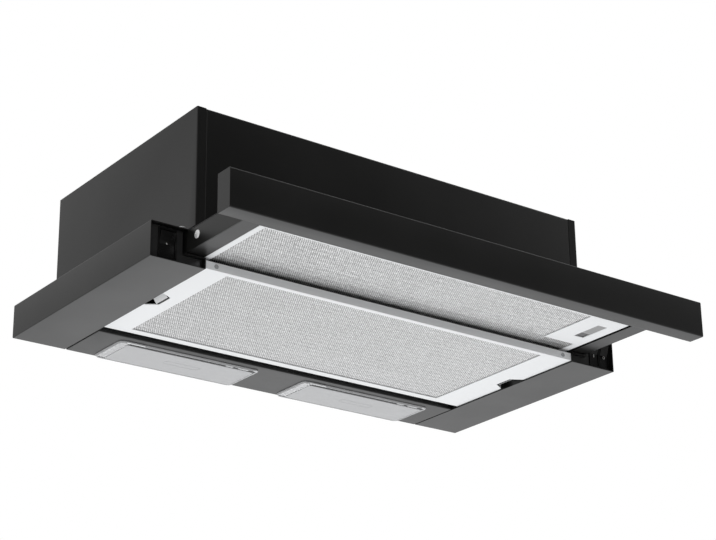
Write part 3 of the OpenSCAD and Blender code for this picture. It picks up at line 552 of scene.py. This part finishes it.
def lens(node):
    """The pieces of one lens, from its rim to its prisms."""
    low, high = (Vector(corner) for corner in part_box(node))
    high.x += LENS_TIP
    bottom, skin, channel = low.z, low.z + LENS_HIGH, low.z + CHANNEL_DEPTH
    face = bottom + PANEL_RISE
    low, high = low.xy, high.xy

    def piece(part, build, *shape, finish=None, radius=0.0, segments=2, replace=False):
        name = node + "_" + part
        made = add_piece(name, build(name, *shape), node, finish, replace)
        if radius:
            round_edges(made, radius, segments)

    edge = outline(low + LENS_LEAN, high, LENS_CORNERS * 0.9)
    inside_low, inside_high = low + LENS_RIM, high - LENS_RIM
    inside = outline(inside_low, inside_high, LENS_CORNERS * 0.7)
    piece("rim", ring_mesh, edge, inside, bottom, skin, outline(low, high, LENS_CORNERS),
          finish=LENS_EDGE, radius=0.35 * MM, segments=3, replace=True)
    piece("channel", slab_mesh, inside, channel, skin, finish=LENS_CHANNEL)
    panel_low = low + Vector((PANEL_FROM_LEFT, PANEL_FROM_FRONT))
    panel_high = high - Vector((PANEL_FROM_RIGHT, PANEL_FROM_REAR))
    groove = outline(panel_low - GROOVE, Vector((panel_high.x, panel_low.y)) + GROOVE, 0.5 * MM)
    piece("groove", slab_mesh, groove, face + GROOVE_DEPTH, channel + OVERLAP / 2,
          finish=LENS_GROOVE_SHADE)
    piece("panel", slab_mesh, outline(panel_low, panel_high, 1.6 * MM), face, channel + OVERLAP,
          radius=0.3 * MM)
    middle = (panel_low + panel_high) / 2 + MARK_SHIFT
    outer = outline(middle - MARK_HALF, middle + MARK_HALF, 1.2 * MM)
    inner = outline(middle - MARK_HALF + MARK_LINE, middle + MARK_HALF - MARK_LINE, 0.3 * MM)
    piece("mark", ring_mesh, outer, inner, bottom, face + OVERLAP / 2, radius=0.12 * MM)
    for name, start, end, away, finish in LENS_TABS:
        tab_low = Vector((high.x - start * MM, low.y + away * MM))
        tab_high = Vector((high.x - end * MM, tab_low.y + TAB_WIDE))
        piece(name, slab_mesh, outline(tab_low, tab_high, 1 * MM), bottom + OVERLAP / 2,
              channel + OVERLAP, finish=finish, radius=0.3 * MM)
    pitch = (inside_high.y - inside_low.y) / PRISMS
    x0, x1 = inside_low.x + 0.6 * MM, panel_low.x + OVERLAP
    wide, top = PRISM_SHARE * pitch, bottom + OVERLAP
    rows = [inside_low.y + i * pitch for i in range(PRISMS)]
    piece("prisms", joined_mesh, [
        ridge((x0, y), (x1, y + wide), channel, top, PRISM_SLOPE) for y in rows])


for lens_node in ("lamp_lens_left", "lamp_lens_right"):
    lens(lens_node)
print("lenses: 2, prisms on each:", PRISMS)

# %% [markdown]
# ## Expanded aluminium
#
# A grease filter holds layers of expanded foil. The foil is slit and drawn apart, which leaves
# staggered diamonds whose strands are twisted, and that twist makes the filter sparkle. A
# texture can't give that sparkle, so the strands are real geometry: each diamond is a ring of
# four strands round a hole, with one side of the hole lifted and the other lowered. The rings
# share their outer corners, so a sheet is one net.
#
# The slitting machine feeds the foil in short steps, so the holes open and close a little along
# the sheet. On the visor's sheet the holes are made wider towards its rear and beyond its cut-away
# corner, so that more of the dark net behind shows through: that paints the shadow which the main
# filter's front wall casts there. Behind each face net lies a darker net with longer holes, whose
# dark tone is painted shade, and a coarse one closes the rear of the main filter.

# %% Build a net
NET_PITCH = np.array([2.36, 4.55]) * MM
BACK_PITCH = np.array([2.36, 8.5]) * MM
REAR_PITCH = np.array([4.2, 9.1]) * MM
NET_OPEN = 0.68
BACK_OPEN = 0.72
REAR_OPEN = 0.6
NET_TWIST = 0.16 * MM
NET_FOIL = 0.12 * MM
NET_BEHIND = 0.45 * MM
FEED_LENGTH = 9.8 * MM
FEED_SHARE = 0.065
REAR_SHADE_SHARE = 0.28
REAR_SHADE_RUN = 26 * MM
CORNER_SHADE_SHARE = 0.12
DIAMOND = np.array([(-1, 0), (0, -1), (1, 0), (0, 1)])


def hole_shares(centres, step):
    """How wide each hole is drawn, as a share of the usual width."""
    shares = 1 + FEED_SHARE * np.sin(2 * pi * centres[:, 1] / FEED_LENGTH)
    if step is not None:
        # Painted shadow: the holes open wider towards the visor's rear and beyond the cut-away
        # corner, so the dark net behind darkens the sheet there.
        shares += REAR_SHADE_SHARE * np.clip((centres[:, 1] - step[1]) / REAR_SHADE_RUN, 0, 1)
        shares += CORNER_SHADE_SHARE * (centres[:, 0] > step[0])
    return shares


def net_mesh(name, low, high, pitch, open_share, thickness=0.0, step=None):
    """A sheet of expanded metal from low to high in X and Y, whose lowest point is at low's Z.
    A step is the inner corner of the part that is cut away at the front right."""
    size = np.subtract(high[:2], low[:2])
    count = np.maximum(1, np.round(size / pitch)).astype(int)
    half = size / count / 2
    rows, columns = np.meshgrid(*(np.arange(1, 2 * count[axis]) for axis in (1, 0)), indexing="ij")
    staggered = (rows + columns) % 2 == 0
    centres = np.stack([columns[staggered], rows[staggered]], axis=1) * half + low[:2]
    if step is not None:
        centres = centres[(centres[:, 0] < step[0]) | (centres[:, 1] > step[1])]
    hole = half * open_share * hole_shares(centres, step)[:, None, None]
    twist = NET_TWIST * DIAMOND[:, 0]
    rings = []
    for level in (0, thickness) if thickness else (0,):
        for extent, rise in ((half, np.zeros(4)), (hole, twist)):
            ring = np.empty((len(centres), 4, 3))
            ring[:, :, :2] = centres[:, None] + DIAMOND * extent
            ring[:, :, 2] = low[2] + NET_TWIST + rise + level
            rings.append(ring)
    points = np.stack(rings, axis=1).reshape(-1, 3)
    joins = ((0, 1), (1, 3), (3, 2)) if thickness else ((0, 1),)
    faces = np.array([face for first, second in joins for face in walls(4, first, second)])
    faces = faces[None] + 4 * len(rings) * np.arange(len(centres))[:, None, None]
    mesh = new_mesh(name, points.tolist(), faces.reshape(-1, 4).tolist())
    net = bmesh.new()
    net.from_mesh(mesh)
    bmesh.ops.remove_doubles(net, verts=net.verts, dist=MERGE)
    net.to_mesh(mesh)
    net.free()
    return mesh


def inner_corner(node):
    """The corner of an L-shaped solid that lies inside its box, or None."""
    low, high = (np.array(corner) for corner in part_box(node))
    for vertex in frame["nodes"][node].data.vertices:
        place = np.array(vertex.co)
        if np.all((place > low + MM)[:2]) and np.all((place < high - MM)[:2]):
            return place[:2]


# The second net's nearly black tone paints the shade between the layers, which shows through the
# holes of the face net.
SECOND_FOIL_SHADE = expanded_aluminium("second_aluminium_painted_shade", 0.12, 0.45)


def filter_nets(node, pad):
    """The face net of a filter and one longer net behind it, in the room of the solid."""
    low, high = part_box(node)
    step = inner_corner(pad)
    front = net_mesh(node + "_face", low, high, NET_PITCH, NET_OPEN, step=step)
    add_piece(node + "_face", front, node, replace=True)
    behind = Vector(low) + Vector((0, 0, NET_BEHIND))
    back = net_mesh(node + "_second", behind, high, BACK_PITCH, BACK_OPEN, NET_FOIL, step)
    add_piece(node + "_second", back, node, SECOND_FOIL_SHADE)
    soften(pad, 0.2 * MM)
    print(node, "strands:", len(front.polygons), len(back.polygons))


def rear_net(name, pad):
    """A coarse net that lies on a filter's rear side."""
    low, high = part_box(pad)
    net = net_mesh(name, Vector((low[0], low[1], high[2])), high, REAR_PITCH, REAR_OPEN, NET_FOIL)
    add_piece(name, net, pad, FINISH["filter_mesh"])
    print(name, "strands:", len(net.polygons))


filter_nets("main_filter_mesh", "main_filter_pad")
filter_nets("visor_filter_mesh", "visor_filter_pad")
rear_net("main_filter_rear_net", "main_filter_pad")

# %% [markdown]
# ## Finger notches and the latch
#
# A filter is pulled out by two notches in its side borders. The border is folded up round
# each notch into a short sloping lip, which the finger meets instead of a cut edge. The latch
# of the visor filter is a grey slider whose thumb pad has fine ridges. It lies in a slot, and
# its tail fills the slot's rear end, so that no hole shows beside the pad. The tail is a much
# darker moulding than the slider, which paints the shade deep in the slot's rear end.

# %% Lips and slider
NOTCH_Y = -40 * MM
NOTCH_HALF = 11 * MM
NOTCH_DEEP = 14 * MM
LIP_HIGH = 7.4 * MM
LIP_LEAN = 6 * MM
LIP_SKIN = 0.5 * MM
TAIL_LENGTH = 14 * MM
TAIL_UNDER = 1 * MM  # how far the tail reaches under the pad
TAIL_DEPTH = 0.85 * MM
TAIL_SKIN = 0.15 * MM
RIDGES = 9
RIDGE_PITCH = 2.4 * MM
RIDGE_WIDE = 1.3 * MM
RIDGE_HIGH = 0.28 * MM
RIDGE_ROOT = 0.1 * MM
PAD_MARGIN = 1.4 * MM
# The tail's dark tone paints the shade deep in the slot's rear end.
LATCH_TAIL_SHADE = black_moulding("latch_tail_painted_shade", 0.1, 0.5, 0.7 * MM)


def notch_lip(side):
    """A lip that rises from a notch's inner edge and leans out over the notch."""
    low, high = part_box("main_filter_frame")
    root = (low[0] + NOTCH_DEEP) if side < 0 else (high[0] - NOTCH_DEEP)
    z0, z1 = low[2] + 0.2 * MM, low[2] + LIP_HIGH
    points = []
    for thick in (0, LIP_SKIN):
        for y_half, out, z in ((NOTCH_HALF, 0, z0), (NOTCH_HALF * 0.9, LIP_LEAN, z1)):
            for y in (-y_half, y_half):
                points.append((root + side * (out - thick), NOTCH_Y + y, z))
    faces = [(0, 1, 3, 2), (5, 4, 6, 7), (1, 0, 4, 5), (2, 3, 7, 6), (0, 2, 6, 4), (3, 1, 5, 7)]
    name = "notch_lip_" + ("left" if side < 0 else "right")
    round_edges(add_piece(name, new_mesh(name, points, faces), "main_filter_frame"), 0.15 * MM)


def latch_slider():
    """The slider with rounded edges, its tail, and fine ridges across its thumb pad."""
    soften("visor_latch", 0.2 * MM)
    points = np.array([vertex.co[:] for vertex in frame["nodes"]["visor_latch"].data.vertices])
    pad = points[points[:, 2] < points[:, 2].min() + MERGE]
    low, high = pad.min(axis=0), pad.max(axis=0)
    tail = outline((low[0], high[1] - TAIL_UNDER), (high[0], high[1] + TAIL_LENGTH), 0.5 * MM)
    tail_z = low[2] + TAIL_DEPTH
    add_piece("visor_latch_tail", slab_mesh("visor_latch_tail", tail, tail_z, tail_z + TAIL_SKIN),
              "visor_latch", LATCH_TAIL_SHADE)
    x0, x1 = low[0] + PAD_MARGIN, high[0] - PAD_MARGIN
    base, top = low[2] + RIDGE_ROOT, low[2] - RIDGE_HIGH
    rows = [low[1] + RIDGE_PITCH * (1 + i) for i in range(RIDGES)]
    ridges = [ridge((x0, y), (x1, y + RIDGE_WIDE), base, top) for y in rows]
    add_piece("visor_latch_ridges", joined_mesh("visor_latch_ridges", ridges), "visor_latch")


for notch_side in (-1, 1):
    notch_lip(notch_side)
latch_slider()
print("lips: 2, latch ridges:", RIDGES)

# %% [markdown]
# ## Screw heads and rivets
#
# The frame has a plain dome or disc for each screw. The real heads are pan heads with a cross
# recess, whose glint is bright and broken. One head is turned on a lathe profile, the cross is
# cut from it once, and the result is set on every dome. The heads are found as the loose parts
# of the solid, so none of their places is typed here. A rivet is a small turned eyelet.

# %% Heads on every dome
PAN_PROFILE = ((1.0, 0.0), (0.96, 0.24), (0.86, 0.46), (0.7, 0.67), (0.5, 0.84), (0.28, 0.95),
               (0.08, 1.0))
EYELET_PROFILE = ((1.0, 0.0), (1.0, 0.4), (0.92, 0.8), (0.76, 1.0), (0.5, 0.9), (0.4, 0.6))
CROSS_LONG, CROSS_WIDE = 0.5, 0.1
CROSS_ENDS = ((0.3, 0.6), (1.3, 1.15))  # height and share of the width at each end of the cut
SQUARE = ((1, 1), (-1, 1), (-1, -1), (1, -1))
FIRST_TURN, NEXT_TURN = 0.6, 1.3  # each cross is turned further, as screws are
DISC_SPARE = 0.1 * MM
HEAD_ANGLE = radians(35)


def loose_parts(mesh):
    """The points of each connected part of a mesh."""
    owner = np.arange(len(mesh.vertices))

    def root(i):
        while owner[i] != i:
            owner[i] = owner[owner[i]]
            i = owner[i]
        return i

    for edge in mesh.edges:
        owner[root(edge.vertices[0])] = root(edge.vertices[1])
    groups = {}
    for vertex in mesh.vertices:
        groups.setdefault(root(vertex.index), []).append(vertex.co[:])
    return [np.array(points) for points in groups.values()]


def turned_mesh(name, profile, segments):
    """A closed solid turned round Z from radius and height pairs."""
    turns = [2 * pi * i / segments for i in range(segments)]
    points = [(radius * cos(t), radius * sin(t), height)
              for radius, height in profile for t in turns]
    faces = [face for ring in range(len(profile) - 1) for face in walls(segments, ring, ring + 1)]
    last = (len(profile) - 1) * segments
    faces += [tuple(range(segments))[::-1], tuple(range(last, last + segments))]
    return new_mesh(name, points, faces)


def pan_head():
    """A head of radius 1 and height 1 with a cross recess, as a mesh."""
    parts = [bpy.data.objects.new("head", turned_mesh("head", PAN_PROFILE, 32))]
    faces = walls(4, 0, 1) + [(3, 2, 1, 0), (4, 5, 6, 7)]
    for along, across in ((CROSS_LONG, CROSS_WIDE), (CROSS_WIDE, CROSS_LONG)):
        points = [(sx * along * share, sy * across * share, z) for z, share in CROSS_ENDS
                  for sx, sy in SQUARE]
        parts.append(bpy.data.objects.new("arm", new_mesh("arm", points, faces)))
    head = parts[0]
    for part in parts:
        bpy.context.collection.objects.link(part)
    for arm in parts[1:]:
        cut = head.modifiers.new("cross", "BOOLEAN")
        cut.operation = "DIFFERENCE"
        cut.object = arm
        cut.solver = "EXACT"
    depsgraph = bpy.context.evaluated_depsgraph_get()
    mesh = bpy.data.meshes.new_from_object(head.evaluated_get(depsgraph))
    for part in parts:
        bpy.data.objects.remove(part)
    return mesh


def head_on(points, pattern, turn):
    """The pattern's points set on one dome, and whether its faces must be flipped. A dome's wide
    end is its base, and a plain disc looks away from the hood's middle."""
    low, high = points.min(axis=0), points.max(axis=0)
    thin = int(np.argmin(high - low))
    flat = [axis for axis in range(3) if axis != thin]
    middle, radius, height = (low + high) / 2, (high - low)[flat[0]] / 2, (high - low)[thin]
    radial = np.hypot(*(points[:, axis] - middle[axis] for axis in flat))
    low_end, high_end = (radial[np.abs(points[:, thin] - end[thin]) < MERGE].max()
                         for end in (low, high))
    is_disc = abs(low_end - high_end) < DISC_SPARE
    outward = 1 if (low[thin] > 0 if is_disc else low_end > high_end) else -1
    spun = pattern @ np.array([[cos(turn), sin(turn), 0], [-sin(turn), cos(turn), 0], [0, 0, 1]])
    placed = np.empty_like(spun)
    for place, axis in enumerate(flat):
        placed[:, axis] = spun[:, place] * radius + middle[axis]
    base = low[thin] if outward > 0 else high[thin]
    placed[:, thin] = base + outward * spun[:, 2] * height
    return placed, (outward < 0) != (thin == 1)


def fasteners(node, head, name, material):
    """One mesh with the head on each dome of a node."""
    pattern = np.array([vertex.co[:] for vertex in head.vertices])
    faces = [tuple(face.vertices) for face in head.polygons]
    parts = []
    for number, points in enumerate(loose_parts(clean_mesh(node))):
        placed, flipped = head_on(points, pattern, FIRST_TURN + NEXT_TURN * number)
        turned = [face[::-1] for face in faces] if flipped else faces
        parts.append((list(map(tuple, placed)), turned))
    mesh = joined_mesh(name, parts)
    mesh.polygons.foreach_set("use_smooth", [True] * len(mesh.polygons))
    mesh.set_sharp_from_angle(angle=HEAD_ANGLE)
    print(name, len(parts))
    add_piece(name, mesh, node, material, replace=True)


cross_head = pan_head()
satin_zinc = zinc_plate("satin_zinc", 0.95, 0.36, 0.45, 0.9 * MM)
fasteners("body_screws", cross_head, "body_screw_heads", satin_zinc)
fasteners("visor_screws", cross_head, "visor_screw_heads", satin_zinc)
rivet_coat = pale_moulding("rivet_coat", (0.34, 0.35, 0.36), (0.42, 0.43, 0.44), 0.5)
eyelet = turned_mesh("eyelet", EYELET_PROFILE, 28)
fasteners("filter_rivets", eyelet, "filter_rivet_heads", rivet_coat)

# %% [markdown]
# ## Rockers
#
# The rockers carry a small pale print, which on the real hood tells the lamp from the fan. Here
# it is a short bar or a ring and nothing more. The prints lie on the rockers' faces, so
# they are placed by a ray from the front onto the solid. An image texture would do as well, but
# it would need a layout of each face.

# %% Prints on the rockers
def front_hit(node, x, z):
    """The point and normal where a line along +Y first meets a solid."""
    solid = frame["nodes"][node].data
    faces = [tuple(face.vertices) for face in solid.polygons]
    tree = BVHTree.FromPolygons([vertex.co for vertex in solid.vertices], faces)
    place, normal, _, _ = tree.ray_cast(Vector((x, -1, z)), Vector((0, 1, 0)))
    return place, normal


PRINT_PALE = pale_moulding("pale_print", grey(0.5), grey(0.6), 0.5)
PRINT_LIFT = 0.04 * MM


def rocker_print(node, share_z, shape):
    """A flat print of a few points, laid on the rocker's front at a share of its height."""
    low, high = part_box(node)
    x, z = (low[0] + high[0]) / 2, low[2] + (high[2] - low[2]) * share_z
    place, normal = front_hit(node, x, z)
    side = Vector((1, 0, 0))
    rise = side.cross(normal).normalized()
    if rise.z < 0:
        rise.negate()
    points = [tuple(place + normal * PRINT_LIFT + side * u + rise * v) for u, v in shape]
    half = len(points) // 2
    faces = [(i, (i + 1) % half, half + (i + 1) % half, half + i) for i in range(half)]
    add_piece(node + "_print", new_mesh(node + "_print", points, faces), node, PRINT_PALE)


def ring_print(radius, line, steps=24):
    turns = [2 * pi * i / steps for i in range(steps)]
    return [(r * cos(t), r * sin(t)) for r in (radius, radius - line) for t in turns]


def bar_print(length, line, lean):
    """A bar's corners, and then the same corners drawn in nearly to its middle."""
    along = Vector((cos(lean), sin(lean))) * length / 2
    across = Vector((-sin(lean), cos(lean))) * line / 2
    corners = (along + across, across - along, -along - across, along - across)
    return [tuple(corner * share) for share in (1, 0.02) for corner in corners]


rocker_print("lamp_rocker", 0.5, bar_print(3.2 * MM, 0.8 * MM, radians(-52)))
rocker_print("power_rocker", 0.45, ring_print(1.7 * MM, 0.6 * MM))
rocker_print("speed_rocker", 0.42, bar_print(3.4 * MM, 0.8 * MM, radians(90)))
print("prints: 3")

# %% [markdown]
# ## Pressed beads
#
# A large sheet panel drums unless it is stiffened, so beads are pressed into it. The back
# panel is rebuilt as a fine grid whose depth follows the beads, and they go inwards, because the
# hood stands against a wall. On the top panel the beads stand up beside the duct collar.

# %% Back panel and top beads
BACK_BEADS = [(x * MM, z * MM) for x in (-125, 125) for z in (38, 95)]
BEAD_HALF = 62 * MM
BEAD_WIDE = 7 * MM
BEAD_DEEP = 2.2 * MM
BACK_COLUMNS, BACK_ROWS = 161, 71
TOP_BEAD_CORNER = 4.9 * MM
TOP_BEAD_ROOT = 0.3 * MM
TOP_BEAD_HIGH = 1.6 * MM
TOP_BEAD_SLOPE = 1.5 * MM
TOP_BEADS = (  # middle and half length in X and Y, in mm
    (160, -98, 62, 5), (-160, -98, 62, 5), (160, 98, 62, 5), (-160, 98, 62, 5), (160, 0, 5, 60))


def bead_depth(x, z):
    """Depth from 0 to 1 of the back's round-ended beads at a point."""
    depth = np.zeros_like(x)
    for bead_x, bead_z in BACK_BEADS:
        away = np.hypot(np.maximum(np.abs(x - bead_x) - BEAD_HALF, 0), z - bead_z) / BEAD_WIDE
        depth = np.maximum(depth, np.clip(1 - away, 0, 1) ** 2 * (1 + 2 * np.clip(away, 0, 1)))
    return depth


def pressed_back():
    """Two skins of the back panel, each a grid whose points are pressed in at the beads."""
    low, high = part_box("back_panel")
    columns = np.linspace(low[0], high[0], BACK_COLUMNS)
    rows = np.linspace(low[2], high[2], BACK_ROWS)
    x, z = np.meshgrid(columns, rows)
    depth = BEAD_DEEP * bead_depth(x, z)
    corners = [(r * BACK_COLUMNS + c, r * BACK_COLUMNS + c + 1, (r + 1) * BACK_COLUMNS + c + 1,
                (r + 1) * BACK_COLUMNS + c)
               for r in range(BACK_ROWS - 1) for c in range(BACK_COLUMNS - 1)]
    skins = []
    for y, faces in ((high[1], [face[::-1] for face in corners]), (low[1], corners)):
        points = np.stack([x, y - depth, z], axis=-1).reshape(-1, 3)
        skins.append((list(map(tuple, points)), faces))
    mesh = joined_mesh("back_panel_pressed", skins)
    mesh.polygons.foreach_set("use_smooth", [True] * len(mesh.polygons))
    add_piece("back_panel_pressed", mesh, "back_panel", replace=True)


def top_beads():
    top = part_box("top_panel")[1][2]
    for number, (x, y, half_x, half_y) in enumerate(TOP_BEADS):
        middle, half = Vector((x, y)) * MM, Vector((half_x, half_y)) * MM
        name = "top_bead_" + str(number)
        points = outline(middle - half, middle + half, TOP_BEAD_CORNER, 8)
        bead = slab_mesh(name, points, top - TOP_BEAD_ROOT, top + TOP_BEAD_HIGH)
        round_edges(add_piece(name, bead, "top_panel"), TOP_BEAD_SLOPE, 4)


pressed_back()
top_beads()
print("beads:", len(BACK_BEADS), "in the back,", len(TOP_BEADS), "on the top")

# %% [markdown]
# ## Camera
#
# The camera stands in front and to the left, well below the hood, and looks up. Its place, its
# way to look and its lens were worked out from the straight edges of the hood, so they are plain
# numbers here. A camera that tracks an empty would be simpler, but it could not roll.

# %% Camera
EYE = Vector((-1.1644, -1.6219, -0.7401))
AZIMUTH, ELEVATION, ROLL = radians(36.827), radians(21.905), radians(-0.738)
LENS_LENGTH = 98.12  # in millimetres, on a sensor 36 mm wide
ahead = Vector((sin(AZIMUTH) * cos(ELEVATION), cos(AZIMUTH) * cos(ELEVATION), sin(ELEVATION)))
level = Vector((cos(AZIMUTH), -sin(AZIMUTH), 0))
above = level.cross(ahead)
right = level * cos(ROLL) + above * sin(ROLL)
up = above * cos(ROLL) - level * sin(ROLL)
optics = bpy.data.cameras.new("studio_camera")
optics.sensor_width = 36
optics.lens = LENS_LENGTH
camera = bpy.data.objects.new("studio_camera", optics)
camera.matrix_world = Matrix((right, up, -ahead)).transposed().to_4x4()
camera.location = EYE
bpy.context.collection.objects.link(camera)
bpy.context.scene.camera = camera
bpy.context.scene.view_settings.view_transform = "Standard"
print("camera stands", round(EYE.length, 2), "m away")

# %% [markdown]
# ## Light and floor
#
# The surroundings are white, apart from two dimmer patches: a black panel shows only what it
# mirrors, and the real front mirrors something dim at the upper front right. Lamps alone would
# leave such panels flat. One wide soft light lies near the floor, because a hood that is seen
# from below is lit by what is under it.

# %% World, floor and light
PATCHES = {  # way to look: dot product where it starts, where it is full, share of light left
    (0.30, -0.87, 0.38): (0.55, 1.0, 0.1),
    (-0.55, 0.74, 0.37): (0.60, 0.98, 0.84),
}


SKY_LEVEL = 0.84


class Sky(Tree):
    """The tree of a world, whose place is the way that a ray goes."""

    PLACE = "Generated"


world = bpy.data.worlds.new("studio")
world.use_nodes = True
bpy.context.scene.world = world
sky = Sky(world.node_tree)
strength = SKY_LEVEL
for way, (start, full, left) in PATCHES.items():
    facing = sky.node("VectorMath", {"operation": "DOT_PRODUCT"},
                      {0: sky.place, 1: Vector(way).normalized()}, out="Value")
    strength = sky.ramp(facing, start, full, 1, left, curve="SMOOTHSTEP") * strength
seen = sky.node("LightPath", out="Is Camera Ray")
background = world.node_tree.nodes["Background"]
sky.feed(background.inputs["Strength"], seen.maths("MAXIMUM", seen, strength))
sky.feed(background.inputs["Color"], (1, 1, 1, 1))

FLOOR_DROP = 1.45
FLOOR_HALF = 20
floor_corners = [(sx * FLOOR_HALF, sy * FLOOR_HALF, -FLOOR_DROP) for sx, sy in SQUARE]
floor_mesh = new_mesh("floor", floor_corners, [(0, 1, 2, 3)])
floor = bpy.data.objects.new("floor", floor_mesh)
bpy.context.collection.objects.link(floor)
paper = Finish("pale_floor", {"Roughness": 0.9, "Specular IOR Level": 0.1})
paper.set(Base_Color=paper.blend(paper.noise(2.0), (0.83, 0.83, 0.83), (0.86, 0.86, 0.86)))
floor_mesh.materials.append(paper.material)

GLOW_SIZE = 5.0
GLOW_POWER = 57
GLOW_PLACE = (0.9, 2.1, 0.03 - FLOOR_DROP)
glow = bpy.data.lights.new("light_from_below", "AREA")
glow.shape = "RECTANGLE"
glow.size, glow.size_y = GLOW_SIZE, GLOW_SIZE
glow.energy = GLOW_POWER
glow.color = (0.97, 0.985, 1.0)
glow_lamp = bpy.data.objects.new("light_from_below", glow)
glow_lamp.location = GLOW_PLACE
glow_lamp.rotation_euler = (pi, 0, 0)
bpy.context.collection.objects.link(glow_lamp)
print("floor lies", FLOOR_DROP, "m below the wing tops")

# %% [markdown]
# ## Finishes of the plain solids
#
# A few solids keep their own mesh, such as the bulbs and the blower wheel, because they are
# round already or lie deep inside. They get the finish of their slot, like the softened copies.

# %% Finishes of the solids that stay
for node, solid in frame["nodes"].items():
    solid.data.materials.clear()
    solid.data.materials.append(FINISH[SLOT_OF[node]])
